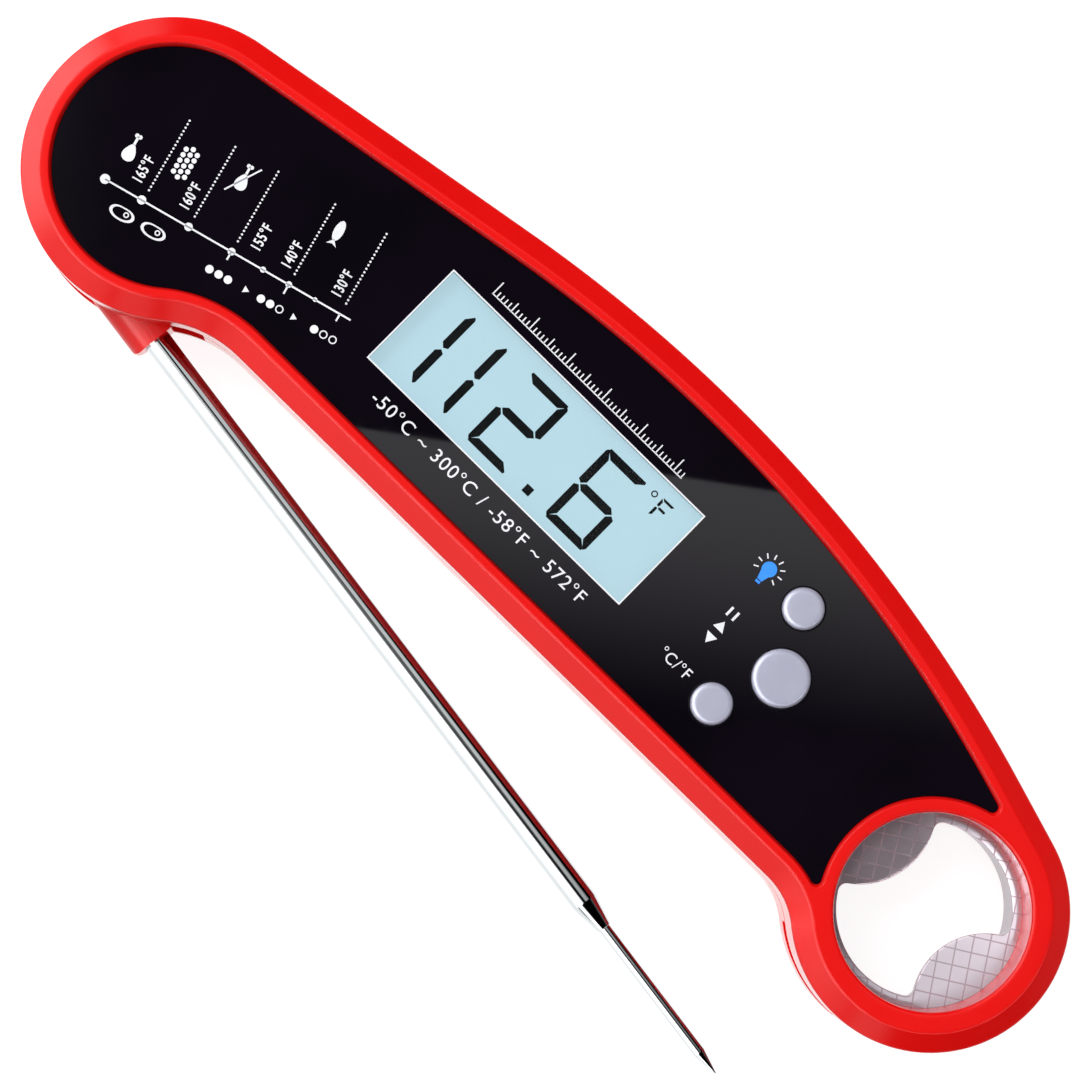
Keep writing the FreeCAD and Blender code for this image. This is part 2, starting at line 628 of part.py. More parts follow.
def probe_tube():
    """The thick steel tube, tapered down to the needle."""
    solid = rod_between(on_probe(TUBE_START), on_probe(TUBE_END), TUBE_R)
    solid = solid.fuse(Part.makeCone(TUBE_R, NEEDLE_R + 0.15, TAPER_LEN, on_probe(TUBE_END), Vector(1, 0, 0)))
    solid = solid.cut(rod_between(on_probe(TUBE_START - 1), on_probe(TUBE_END), TUBE_BORE_R))
    solid = solid.cut(rod_between(on_probe(TUBE_END - 1), on_probe(TUBE_END + TAPER_LEN + 1), NEEDLE_R))
    return set_to_rest(solid.removeSplitter())


def probe_needle():
    """The thin steel tip, closed by a sharp point."""
    point_start = PROBE_LEN - POINT_LEN
    solid = rod_between(on_probe(TUBE_END), on_probe(point_start), NEEDLE_R)
    solid = solid.fuse(Part.makeCone(NEEDLE_R, 0.1, POINT_LEN, on_probe(point_start), Vector(1, 0, 0)))
    bore = rod_between(on_probe(TUBE_END - 1), on_probe(point_start - 0.5), NEEDLE_BORE_R)
    return set_to_rest(solid.cut(bore))


def thermistor_bead():
    """The sensor just behind the point."""
    end = PROBE_LEN - POINT_LEN - 0.6
    return set_to_rest(rod_between(on_probe(end - BEAD_LEN), on_probe(end), NEEDLE_BORE_R - 0.05))


def lead(places, bend_r, lead_r):
    """A round lead along straight runs, with an arc at each inner corner."""
    path = []
    start = places[0]
    for before, corner, after in zip(places, places[1:], places[2:]):
        back = (before - corner).normalize()
        on = (after - corner).normalize()
        half = back.getAngle(on) / 2
        entry = corner + back * (bend_r / math.tan(half))
        leave = corner + on * (bend_r / math.tan(half))
        middle = corner + (back + on).normalize() * (bend_r / math.sin(half) - bend_r)
        path.append(Part.LineSegment(start, entry).toShape())
        path.append(Part.Arc(entry, middle, leave).toShape())
        start = leave
    path.append(Part.LineSegment(start, places[-1]).toShape())
    section = Part.Wire(Part.Circle(places[0], places[1] - places[0], lead_r).toShape())
    return Part.Wire(path).makePipeShell([section], True, True)


def sensor_leads():
    """Two insulated leads from the sensor through the tube to the hub's well."""
    end = PROBE_LEN - POINT_LEN - 0.6 - BEAD_LEN
    leads = []
    for side in (-1, 1):
        aside = side * (LEAD_R + 0.04)
        landing = Vector(LEAD_LANDING.x + aside, LEAD_LANDING.y, LEAD_LANDING.z)
        corner = on_probe(TUBE_START - LEAD_TURN, aside)
        leads.append(lead([on_probe(end, aside), corner, landing], 0.6, LEAD_R))
    return set_to_rest(Part.Compound(leads))


def case_leads():
    """Two leads from inside the bush, over the deck and down to the board."""
    leads = []
    for y in (-0.6, 0.6):
        places = [
            Vector(0, y, PROBE_Z),
            Vector(0, y, CASE_LEAD_Z),
            Vector(CASE_LEAD_END_X, y, CASE_LEAD_Z),
            Vector(CASE_LEAD_END_X, y, BOARD_Z + BOARD_T),
        ]
        leads.append(lead(places, 1.0, CASE_LEAD_R))
    return Part.Compound(leads)


def pivot_bush():
    """The hollow steel spindle, pressed into both shells, with a groove for its ring and a lead window."""
    bush = tube(*HEAD, BUSH_R, BUSH_BORE_R, BUSH_BOTTOM_Z, BUSH_TOP_Z)
    groove = tube(*HEAD, BUSH_R + 1, RING_SEAT_R, DECK_TOP_Z, DECK_TOP_Z + CLIP_T)
    window = block((-1.5, 1.5), (-BUSH_R - 1, 0), (5.0, 8.0))
    return bush.cut(groove).cut(window)


def retaining_ring():
    """The split ring that holds the spindle to the deck."""
    ring = tube(*HEAD, BUSH_R + 1.7, RING_SEAT_R, DECK_TOP_Z, DECK_TOP_Z + CLIP_T)
    return ring.cut(block((-8, 0), (-1.0, 1.0), (DECK_TOP_Z - 1, CASE_H)))


def wave_washer():
    """The spring washer under the hub, which gives the fold its drag."""
    washer_bottom = HUB_BOTTOM_Z - HUB_GAP - WASHER_RECESS
    return tube(*HEAD, WASHER_R, BUSH_R + 0.5, washer_bottom, HUB_BOTTOM_Z - 0.05)


def pivot_seals():
    """The two rubber rings that seal the hub, one in each shell."""
    rear_z = HUB_BOTTOM_Z - 0.05 - SEAL_R
    front_z = HUB_TOP_Z + 0.05 + SEAL_R
    return Part.Compound([Part.makeTorus(PIVOT_SEAL_R, SEAL_R, Vector(0, 0, z)) for z in (rear_z, front_z)])


def coin_cell():
    """The lithium coin cell, a little narrower on its lower contact face."""
    can = rod(*CELL, CELL_R, CELL_BOTTOM_Z + 0.5, CELL_BOTTOM_Z + CELL_T)
    return can.fuse(rod(*CELL, CELL_R - 1.0, CELL_BOTTOM_Z, CELL_BOTTOM_Z + 0.5))


def rear_magnets():
    """Two disc magnets inside the rear face."""
    discs = [rod(x, y, MAGNET_R - 0.05, MAGNET_SKIN, MAGNET_SKIN + MAGNET_T) for x, y in MAGNETS]
    return Part.Compound(discs)


def case_screws():
    """Self-tapping screws from the rear, with crossed slots."""
    screws = []
    for x, y in CASE_SCREWS:
        head_z = SCREW_SINK + SCREW_HEAD_T
        screw = rod(x, y, SCREW_HEAD_R, SCREW_SINK, head_z).fuse(rod(x, y, SCREW_R, head_z, SCREW_TIP_Z))
        for half_x, half_y in ((1.4, 0.3), (0.3, 1.4)):
            slot_zs = (SCREW_SINK - 1, SCREW_SINK + 0.8)
            screw = screw.cut(block((x - half_x, x + half_x), (y - half_y, y + half_y), slot_zs))
        screws.append(screw.removeSplitter())
    return Part.Compound(screws)


def export(name, shape):
    shape.exportStep(os.path.join("parts", name + ".step"))
    print(name, "solids", len(shape.Solids), "valid", shape.isValid(), "volume", round(shape.Volume, 2))


os.makedirs("parts", exist_ok=True)
spring_clip, side_clip = battery_clips()
nodes = {
    "front_shell": front_shell(),
    "rear_shell": rear_shell(),
    "case_seal": case_seal(),
    "face_panel": face_panel(),
    "display_window": display_window(),
    "circuit_board": circuit_board(),
    "opener_insert": opener_insert(),
    "pivot_bush": pivot_bush(),
    "retaining_ring": retaining_ring(),
    "wave_washer": wave_washer(),
    "pivot_seals": pivot_seals(),
    "case_leads": case_leads(),
    "rear_magnets": rear_magnets(),
    "case_screws": case_screws(),
    "coin_cell": coin_cell(),
    "battery_spring": spring_clip,
    "battery_side_clip": side_clip,
    "battery_cover": battery_cover(),
    "cover_seal": cover_seal(),
    "probe_hub": probe_hub(),
    "hub_cover": hub_cover(),
    "hub_magnet": hub_magnet(),
    "probe_tube": probe_tube(),
    "probe_needle": probe_needle(),
    "thermistor_bead": thermistor_bead(),
    "sensor_leads": sensor_leads(),
}
nodes.update(lcd_stack())
nodes.update(board_parts())
for name in BUTTONS:
    nodes[name + "_button"] = button(name)
    nodes[name + "_dome"] = button_dome(name)
    nodes[name + "_switch"] = dome_switch(name)
for name, shape in nodes.items():
    export(name, shape)
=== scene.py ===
import json
import math

import bmesh
import bpy
from mathutils import Matrix, Vector


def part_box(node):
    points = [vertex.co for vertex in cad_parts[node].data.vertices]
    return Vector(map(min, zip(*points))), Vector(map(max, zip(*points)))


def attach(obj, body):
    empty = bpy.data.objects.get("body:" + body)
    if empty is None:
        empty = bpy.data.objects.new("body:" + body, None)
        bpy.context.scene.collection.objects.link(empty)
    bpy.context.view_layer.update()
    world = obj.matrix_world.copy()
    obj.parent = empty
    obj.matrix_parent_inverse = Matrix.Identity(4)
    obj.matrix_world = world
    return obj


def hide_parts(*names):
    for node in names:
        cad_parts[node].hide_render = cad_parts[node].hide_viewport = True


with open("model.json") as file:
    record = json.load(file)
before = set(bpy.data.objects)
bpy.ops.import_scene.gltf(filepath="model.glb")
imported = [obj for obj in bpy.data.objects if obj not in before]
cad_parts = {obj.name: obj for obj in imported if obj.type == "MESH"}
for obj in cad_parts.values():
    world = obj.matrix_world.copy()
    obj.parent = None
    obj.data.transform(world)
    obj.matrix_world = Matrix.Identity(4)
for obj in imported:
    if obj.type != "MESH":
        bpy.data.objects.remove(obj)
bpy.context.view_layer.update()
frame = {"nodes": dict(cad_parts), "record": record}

# Folding probe thermometer.  Shapes are worked out in millimetres in the CAD frame, and stored in metres.
MM = 0.001
CLOSE = 1e-4


def node_box(name):
    """A CAD node's lowest and highest corners, in millimetres."""
    low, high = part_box(name)
    return [value / MM for value in low], [value / MM for value in high]


# ---- sizes read from the frame
PANEL_LOW, PANEL_HIGH = node_box("face_panel")
WINDOW_LOW, WINDOW_HIGH = node_box("display_window")
FRONT_LOW, FRONT_HIGH = node_box("front_shell")
OPENER_LOW, OPENER_HIGH = node_box("opener_insert")
COVER_LOW, COVER_HIGH = node_box("battery_cover")
FILM_LOW, FILM_HIGH = node_box("lcd_polariser")
SPLIT_Z = FRONT_LOW[2]
CASE_H = FRONT_HIGH[2]
PANEL_TOP = PANEL_HIGH[2]
PANEL_BOTTOM = PANEL_LOW[2]
RING = ((OPENER_LOW[0] + OPENER_HIGH[0]) / 2, 0.0)
CELL = ((COVER_LOW[0] + COVER_HIGH[0]) / 2, (COVER_LOW[1] + COVER_HIGH[1]) / 2)

# ---- sizes shared with the CAD, in millimetres and degrees
HEAD = (0.0, 0.0)
HEAD_R = 18.8
RING_R = 17.3
BACK_R = 195.4
BACK = (69.0, 27.9 - BACK_R)
LOWER_Y = -11.0
HEAD_NECK_R = 15.6
RING_NECK_R = 9.6
WALL_T = 2.8
BEVEL_W = 2.6
BEVEL_H = 2.0
MOUTH_INSET = 3.5
PANEL_INSET = 3.9
PANEL_RIM_R = 14.15
PANEL_CORNER_R = 0.7
RING_HOLE_R = 12.2
RING_WALL_R = 18.4
HUB_R = 16.4
BUSH_R = 4.5
BUSH_BOTTOM = 1.2
FLOOR_T = 1.8
HUB_Z = (3.2, 9.8)
POCKET_R = 16.7
POCKET_Z = (2.9, 10.1)
HUB_WALL_R = 20.2
DECK_TOP = 11.9
WEB_T = 1.5
SWEEP_R = 24.0
SWEEP = (84.0, 324.0)
HEEL_R = 18.05
HEEL_FROM = 57.0
PROBE_ANGLE = -8.2
PROBE_OFFSET = 14.35
PROBE_Z = 6.5
ARM_EDGE = 17.7
ARM_END = 14.8
ARM_INNER = 11.5
ARM_ROUND = 4.6
SKIN = 0.01  # how far one flat face stays off another in a cut
TUBE_R = 1.75
TUBE_START = 5.0
TUBE_END = 102.6
TAPER_LEN = 4.1
NEEDLE_R = 0.8
POINT_LEN = 3.3
PROBE_LEN = 129.5
OPENER_BORE_R = 11.0
TAB_ANGLE = -13.5
TAB_CENTRE = 14.65
TAB_R = 9.35
TAB_FILLET_R = 1.1
TAB_DISH = 0.25
DISH_R = 11.6
OPENER_PLATE_T = 2.0
BUTTON_ROUND = 0.75
COVER_R = 12.2
UNLOCK_ANGLE = 50.0
ENGRAVED = 0.22
BUTTONS = ("light", "hold", "unit")
BUTTON_GAP = 0.12
BUTTON_FLANGE = 0.7
SEAM_CHAMFER = 0.22
CASE_SCREWS = ((26.5, -4.6), (26.8, 17.9), (84.6, -5.0), (111.2, 15.2), (111.0, -4.6))

# ---- printed scale
SCALE_START = (-4.88, -6.95)
SCALE_ANGLE = 14.65
SCALE_LEN = 34.6
INK_LIFT = 0.012
INK_T = 0.02

# ---- display digits
DIGIT_LOW_Y = 1.55
DIGIT_HIGH_Y = 13.2
DIGIT_W = 6.75
SEGMENT_T = 1.12
SEGMENT_GAP = 0.14
SEGMENT_TIP = 0.42
SEGMENTS_OF = {"1": "bc", "2": "abged", "6": "afgedc"}


# ======== plane geometry
def polar(centre, radius, degrees):
    a = math.radians(degrees)
    return centre[0] + radius * math.cos(a), centre[1] + radius * math.sin(a)


def angle_of(centre, point):
    return math.degrees(math.atan2(point[1] - centre[1], point[0] - centre[0]))


def tangent_normal(centre_a, radius_a, centre_b, radius_b, side):
    """The outward direction of the line that touches two circles on their outer side."""
    span = math.dist(centre_a, centre_b)
    return angle_of(centre_b, centre_a) + side * math.degrees(math.acos((radius_b - radius_a) / span))


def meet(centre_a, radius_a, centre_b, radius_b, side):
    """Where two circles cross, on one side of the line from a to b."""
    span = math.dist(centre_a, centre_b)
    cosine = (radius_a**2 + span**2 - radius_b**2) / (2 * radius_a * span)
    return polar(centre_a, radius_a, angle_of(centre_a, centre_b) + side * math.degrees(math.acos(cosine)))


HEAD_TANGENT = tangent_normal(HEAD, HEAD_R, BACK, BACK_R, -1)
RING_TANGENT = tangent_normal(RING, RING_R, BACK, BACK_R, 1)
HEAD_NECK_Y = LOWER_Y - HEAD_NECK_R
RING_NECK_Y = LOWER_Y - RING_NECK_R
HEAD_NECK = (math.sqrt((HEAD_R + HEAD_NECK_R) ** 2 - HEAD_NECK_Y**2), HEAD_NECK_Y)
RING_NECK = (RING[0] - math.sqrt((RING_R + RING_NECK_R) ** 2 - RING_NECK_Y**2), RING_NECK_Y)
HEAD_TOUCH = angle_of(HEAD, HEAD_NECK)
RING_TOUCH = angle_of(RING, RING_NECK)


def trace(pieces):
    """Points along arcs (centre, radius, start, end, steps), joined by straight lines."""
    points = []
    for centre, radius, start, end, steps in pieces:
        for step in range(steps + 1):
            point = polar(centre, radius, start + (end - start) * step / steps)
            if not points or math.dist(point, points[-1]) > CLOSE:
                points.append(point)
    if math.dist(points[0], points[-1]) < CLOSE:
        points.pop()
    return points


def case_outline(inset):
    """The case outline, moved inwards."""
    return trace([
        (RING, RING_R - inset, RING_TOUCH, RING_TANGENT, 110),
        (BACK, BACK_R - inset, RING_TANGENT, HEAD_TANGENT, 60),
        (HEAD, HEAD_R - inset, HEAD_TANGENT, HEAD_TOUCH + 360, 110),
        (HEAD_NECK, HEAD_NECK_R + inset, HEAD_TOUCH + 180, 90, 24),
        (RING_NECK, RING_NECK_R + inset, 90, RING_TOUCH + 180, 24),
    ])


def panel_outline(shrink):
    """The panel's outline, moved inwards: it follows the case and stops at an arc round the ring."""
    inset, rim_r, corner_r = PANEL_INSET + shrink, PANEL_RIM_R + shrink, PANEL_CORNER_R - shrink
    reach = rim_r + corner_r
    upper_turn = math.degrees(math.acos((RING_R - inset - corner_r) / reach))
    upper = polar(RING, reach, RING_TANGENT + upper_turn)
    lower = meet(RING_NECK, RING_NECK_R + inset + corner_r, RING, reach, 1)
    return trace([
        (upper, corner_r, angle_of(upper, RING), RING_TANGENT, 12),
        (BACK, BACK_R - inset, RING_TANGENT, HEAD_TANGENT, 60),
        (HEAD, HEAD_R - inset, HEAD_TANGENT, HEAD_TOUCH + 360, 110),
        (HEAD_NECK, HEAD_NECK_R + inset, HEAD_TOUCH + 180, 90, 24),
        (RING_NECK, RING_NECK_R + inset, 90, angle_of(RING_NECK, lower), 12),
        (lower, corner_r, angle_of(lower, RING_NECK), angle_of(lower, RING), 12),
        (RING, rim_r, angle_of(RING, lower) + 360, angle_of(RING, upper), 40),
    ])


def circle(centre, radius, steps=96):
    return [polar(centre, radius, 360 * step / steps) for step in range(steps)]


def ring_circle(radius):
    return circle(RING, radius, 144)


def rectangle(xs, ys):
    return [(xs[0], ys[0]), (xs[1], ys[0]), (xs[1], ys[1]), (xs[0], ys[1])]


def oblong(centre, half_x, half_y):
    return rectangle((centre[0] - half_x, centre[0] + half_x), (centre[1] - half_y, centre[1] + half_y))


def rounded(corners, steps=5):
    """A profile of (a, b, radius) corners with each corner rounded off."""
    points = [Vector(corners[0][:2])]
    for before, corner, after in zip(corners, corners[1:], corners[2:]):
        here = Vector(corner[:2])
        back = (Vector(before[:2]) - here).normalized()
        on = (Vector(after[:2]) - here).normalized()
        half = back.angle(on) / 2
        if corner[2] == 0:
            points.append(here)
            continue
        centre = here + (back + on).normalized() * corner[2] / math.sin(half)
        first = here + back * corner[2] / math.tan(half) - centre
        last = here + on * corner[2] / math.tan(half) - centre
        for step in range(steps + 1):
            points.append(centre + first.slerp(last, step / steps) * corner[2])
    points.append(Vector(corners[-1][:2]))
    return [(point.x, point.y) for point in points]


# ======== mesh building
def add_object(name, data):
    made = bpy.data.objects.new(name, data)
    bpy.context.scene.collection.objects.link(made)
    return made


class Solid:
    """A closed mesh put together from rings of points."""

    def __init__(self):
        self.mesh = bmesh.new()

    def loose_ring(self, points):
        return [self.mesh.verts.new([value * MM for value in point]) for point in points]

    def ring(self, points, z):
        return self.loose_ring([(x, y, z) for x, y in points])

    def wall(self, rings):
        for lower, upper in zip(rings, rings[1:]):
            for index, vert in enumerate(lower):
                after = (index + 1) % len(lower)
                self.mesh.faces.new((vert, lower[after], upper[after], upper[index]))

    def sleeve(self, outline, profile):
        """Walls along a profile of (measure, z), whose rings come from outline(measure); gives the rings."""
        rings = [self.ring(outline(measure), z) for measure, z in profile]
        self.wall(rings)
        return rings

    def cap(self, *rings):
        """Fills the flat space inside the first ring and outside the others."""
        edges = []
        for ring in rings:
            for index, vert in enumerate(ring):
                pair = (vert, ring[(index + 1) % len(ring)])
                edges.append(self.mesh.edges.get(pair) or self.mesh.edges.new(pair))
        bmesh.ops.triangle_fill(self.mesh, use_beauty=True, use_dissolve=False, edges=edges)

    def stack(self, rings):
        """Walls between rings, with both ends capped."""
        self.wall(rings)
        self.cap(rings[0])
        self.cap(rings[-1])

    def rod(self, rings):
        """Walls between rings, with a single face at each end."""
        self.wall(rings)
        self.mesh.faces.new(rings[0])
        self.mesh.faces.new(rings[-1])

    def pit(self, points, surface, bottom):
        """A flat-bottomed hollow in a flat face; gives its rim, for the face's cap."""
        rings = [self.ring(points, surface), self.ring(points, bottom)]
        self.wall(rings)
        self.cap(rings[1])
        return rings[0]

    def object(self, name, sharp=35.0):
        bmesh.ops.remove_doubles(self.mesh, verts=self.mesh.verts, dist=1e-7)
        bmesh.ops.recalc_face_normals(self.mesh, faces=self.mesh.faces)
        data = bpy.data.meshes.new(name)
        self.mesh.to_mesh(data)
        self.mesh.free()
        made = add_object(name, data)
        shade(made, sharp)
        return made


def shade(piece, sharp=35.0):
    piece.data.polygons.foreach_set("use_smooth", [True] * len(piece.data.polygons))
    piece.data.set_sharp_from_angle(angle=math.radians(sharp))


def prism(name, points, bottom, top):
    solid = Solid()
    solid.stack([solid.ring(points, bottom), solid.ring(points, top)])
    return solid.object(name)


def drill(centre, radius, bottom, top, steps=96):
    """A round cutter."""
    return prism("drill", circle(centre, radius, steps), bottom, top)


def turned(name, centre, profile, steps=96, sharp=35.0, closed=False):
    """A solid turned about an upright axis from a profile of (radius, z), which may close on itself."""
    solid = Solid()
    rings = [solid.ring(circle(centre, radius, steps), z) for radius, z in profile]
    if closed:
        solid.wall(rings + rings[:1])
    else:
        solid.stack(rings)
    return solid.object(name, sharp)


def turned_on_probe(name, profile, steps=72, angle=PROBE_ANGLE):
    """A solid turned about the probe's axis from a profile of (place along, radius)."""
    solid = Solid()
    turn = Matrix.Rotation(math.radians(angle), 3, "Z")
    rings = []
    for along, radius in profile:
        around = circle((-PROBE_OFFSET, PROBE_Z), radius, steps)
        rings.append(solid.loose_ring([turn @ Vector((along, y, z)) for y, z in around]))
    solid.rod(rings)
    return solid.object(name)


def combine(piece, cutters, operation="DIFFERENCE"):
    """Cuts or joins solids, and removes the ones used up."""
    for cutter in cutters:
        modifier = piece.modifiers.new("combine", "BOOLEAN")
        modifier.operation = operation
        modifier.solver = "EXACT"
        modifier.object = cutter
    bpy.context.view_layer.update()
    evaluated = piece.evaluated_get(bpy.context.evaluated_depsgraph_get())
    data = bpy.data.meshes.new_from_object(evaluated)
    piece.modifiers.clear()
    piece.data = data
    for cutter in cutters:
        bpy.data.objects.remove(cutter)
    shade(piece)
    return piece


def place(piece, body, slot, replaces=(), material=None, even=True):
    """Gives a piece its material, the body it rides on and the CAD nodes it stands for."""
    if even:
        # keeps flat faces flat beside small roundings
        modifier = piece.modifiers.new("even_normals", "WEIGHTED_NORMAL")
        modifier.keep_sharp = True
        modifier.weight = 80
    piece.data.materials.clear()
    piece.data.materials.append(material or SLOT_MATERIALS[slot])
    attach(piece, body)
    if replaces:
        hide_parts(*replaces)


# ======== shader nodes
class Graph:
    """Small helpers for building the nodes of a material or of the world."""

    def __init__(self, tree):
        self.nodes = tree.nodes
        self.links = tree.links

    def put(self, value, socket):
        if isinstance(value, (int, float)):
            socket.default_value = value
        else:
            self.links.new(value, socket)

    def math(self, operation, a, b=0.0):
        node = self.nodes.new("ShaderNodeMath")
        node.operation = operation
        self.put(a, node.inputs[0])
        self.put(b, node.inputs[1])
        return node.outputs[0]

    def product(self, first, *others):
        for other in others:
            first = self.math("MULTIPLY", first, other)
        return first

    def mix(self, share, a, b):
        """Goes from a to b as the share goes from 0 to 1."""
        node = self.nodes.new("ShaderNodeMix")
        self.links.new(share, node.inputs["Factor"])
        self.put(a, node.inputs["A"])
        self.put(b, node.inputs["B"])
        return node.outputs["Result"]

    def blend(self, share, color_a, color_b):
        """Goes from one colour to another as the share goes from 0 to 1."""
        node = self.nodes.new("ShaderNodeMix")
        node.data_type = "RGBA"
        node.inputs["A"].default_value = (*color_a, 1)
        node.inputs["B"].default_value = (*color_b, 1)
        self.links.new(share, node.inputs["Factor"])
        return node.outputs["Result"]

    def dot(self, vector, direction):
        node = self.nodes.new("ShaderNodeVectorMath")
        node.operation = "DOT_PRODUCT"
        self.links.new(vector, node.inputs[0])
        node.inputs[1].default_value = direction
        return node.outputs["Value"]

    def axes(self, vector):
        node = self.nodes.new("ShaderNodeSeparateXYZ")
        self.links.new(vector, node.inputs["Vector"])
        return node.outputs

    def ramp(self, value, low, high, to_low=0.0, to_high=1.0, curve="LINEAR"):
        """Maps low to to_low and high to to_high, and holds those values beyond them."""
        node = self.nodes.new("ShaderNodeMapRange")
        node.interpolation_type = curve
        self.links.new(value, node.inputs["Value"])
        for name, number in (("From Min", low), ("From Max", high), ("To Min", to_low), ("To Max", to_high)):
            node.inputs[name].default_value = number
        return node.outputs["Result"]

    def step(self, value, low, high, to_low=0.0, to_high=1.0):
        return self.ramp(value, low, high, to_low, to_high, "SMOOTHSTEP")


class Finish(Graph):
    """A procedural material: one shader whose colour, roughness and surface vary."""

    def __init__(self, name, color, roughness, metallic=0.0, specular=0.5):
        self.material = bpy.data.materials.new(name)
        self.material.use_nodes = True
        super().__init__(self.material.node_tree)
        self.sockets = self.nodes["Principled BSDF"].inputs
        self.sockets["Base Color"].default_value = (*color, 1)
        self.sockets["Roughness"].default_value = roughness
        self.sockets["Metallic"].default_value = metallic
        self.sockets["Specular IOR Level"].default_value = specular

    def place_in_object(self, stretch=(1, 1, 1), turn=0.0):
        """The place in the object's own frame, turned about its upright axis and stretched."""
        mapping = self.nodes.new("ShaderNodeMapping")
        mapping.inputs["Scale"].default_value = stretch
        mapping.inputs["Rotation"].default_value = (0, 0, math.radians(turn))
        self.links.new(self.nodes.new("ShaderNodeTexCoord").outputs["Object"], mapping.inputs["Vector"])
        return mapping.outputs["Vector"]

    def noise(self, scale, detail, stretch=(1, 1, 1), turn=0.0):
        """Noise in the object's own frame, in bumps per metre."""
        texture = self.nodes.new("ShaderNodeTexNoise")
        texture.inputs["Scale"].default_value = scale
        texture.inputs["Detail"].default_value = detail
        self.links.new(self.place_in_object(stretch, turn), texture.inputs["Vector"])
        return texture.outputs["Fac"]

    def uneven(self, colors=None, roughness=None, bump=None):
        """Varies the shader by noise, and gives the material.

        Each argument is (noise values, low, high), and a bump's is (noise values, height, strength).
        """
        if colors:
            share = self.ramp(self.noise(*colors[0]), 0.3, 0.7)
            self.links.new(self.blend(share, *colors[1:]), self.sockets["Base Color"])
        if roughness:
            spread = self.ramp(self.noise(*roughness[0]), 0.3, 0.7, *roughness[1:])
            self.links.new(spread, self.sockets["Roughness"])
        if bump:
            self.add_bump(self.noise(*bump[0]), *bump[1:])
        return self.material

    def add_bump(self, source, height, strength=1.0):
        bump = self.nodes.new("ShaderNodeBump")
        bump.inputs["Distance"].default_value = height * MM
        bump.inputs["Strength"].default_value = strength
        self.links.new(source, bump.inputs["Height"])
        self.links.new(bump.outputs["Normal"], self.sockets["Normal"])

    def glow(self, color, strength):
        self.sockets["Emission Color"].default_value = (*color, 1)
        self.sockets["Emission Strength"].default_value = strength


# ======== materials
def red_plastic():
    return Finish("red_plastic", (0.83, 0.005, 0.004), 0.2, specular=0.22).uneven(
        ((70, 2), (0.81, 0.0045, 0.0038), (0.85, 0.0055, 0.0045)),
        ((500, 3), 0.185, 0.215),
        ((2600, 2), 0.0015, 0.3))


def black_gloss():
    return Finish("black_gloss", (0.004, 0.003, 0.006), 0.04).uneven(
        ((60, 3), (0.0035, 0.0025, 0.005), (0.0055, 0.0035, 0.0075)),
        ((400, 3), 0.008, 0.016))


def clear_pane():
    finish = Finish("clear_pane", (0.02, 0.03, 0.03), 0.03)
    finish.sockets["Alpha"].default_value = 0.06
    return finish.uneven(roughness=((900, 4), 0.02, 0.05))


def lcd_painted_glow():
    finish = Finish("lcd_painted_glow", (0.10, 0.145, 0.165), 0.5, specular=0.1)
    # the glow is painted light: it keeps the display film evenly bright, free of shade from the recess around
    # it
    finish.glow((0.50, 0.735, 0.83), 0.90)
    return finish.uneven(((45, 2), (0.09, 0.135, 0.155), (0.11, 0.155, 0.175)), bump=((5200, 2), 0.002, 0.2))


def lcd_ink():
    return Finish("lcd_ink", (0.004, 0.004, 0.005), 0.5, specular=0.05).uneven(
        ((300, 2), (0.003, 0.003, 0.004), (0.007, 0.007, 0.008)))


def silver_plastic():
    return Finish("silver_plastic", (0.47, 0.48, 0.60), 0.36, metallic=0.2).uneven(
        ((260, 4), (0.45, 0.46, 0.58), (0.49, 0.50, 0.62)),
        ((1800, 4), 0.3, 0.42),
        ((3000, 2), 0.0012, 0.3))


def polished_steel():
    """Bright steel, very finely drawn along the probe."""
    return Finish("polished_steel", (0.48, 0.50, 0.51), 0.06, metallic=1.0).uneven(
        ((120, 3), (0.46, 0.48, 0.49), (0.50, 0.52, 0.53)),
        ((500, 5, (1, 14, 14), -PROBE_ANGLE), 0.03, 0.075),
        ((300, 3, (0.4, 12, 12), -PROBE_ANGLE), 0.0015, 0.2))


def opener_steel():
    """Satin steel with fine crossed lines, 2 mm apart, at 45 degrees to the tabs, and matt cut edges."""
    finish = Finish("opener_steel", (0.62, 0.58, 0.65), 0.38, metallic=0.85)
    spot = finish.axes(finish.place_in_object(turn=-(TAB_ANGLE + 45)))
    facing = finish.axes(finish.nodes.new("ShaderNodeNewGeometry").outputs["Normal"])
    bare = finish.ramp(facing["Z"], 0.3, 0.7)
    for axis in ("X", "Y"):
        fold = finish.math("PINGPONG", spot[axis], 1.0 * MM)
        bare = finish.math("MINIMUM", bare, finish.step(fold, 0.03 * MM, 0.13 * MM))
    finish.links.new(finish.blend(bare, (0.36, 0.32, 0.37), (0.72, 0.66, 0.73)), finish.sockets["Base Color"])
    finish.links.new(finish.ramp(bare, 0.0, 1.0, 0.1, 0.94), finish.sockets["Metallic"])
    finish.add_bump(bare, 0.02, 0.2)
    return finish.uneven(roughness=((1500, 4), 0.285, 0.315))


def shaded(color, factor):
    return [min(1.0, channel * factor) for channel in color]


def plain_metal(name, color, roughness):
    return Finish(name, color, roughness, metallic=1.0).uneven(
        ((200, 3), shaded(color, 0.93), shaded(color, 1.05)),
        ((1500, 4, (6, 1, 1)), roughness * 0.8, roughness * 1.25),
        ((2600, 3, (4, 1, 1)), 0.003, 0.3))


def plain_plastic(name, color, roughness, alpha=1.0, glow=0.0):
    finish = Finish(name, color, roughness)
    finish.sockets["Alpha"].default_value = alpha
    finish.glow(color, glow)
    return finish.uneven(
        ((220, 3), shaded(color, 0.9), shaded(color, 1.08)),
        ((1200, 4), roughness * 0.85, roughness * 1.15),
        ((3000, 3), 0.006, 0.35))


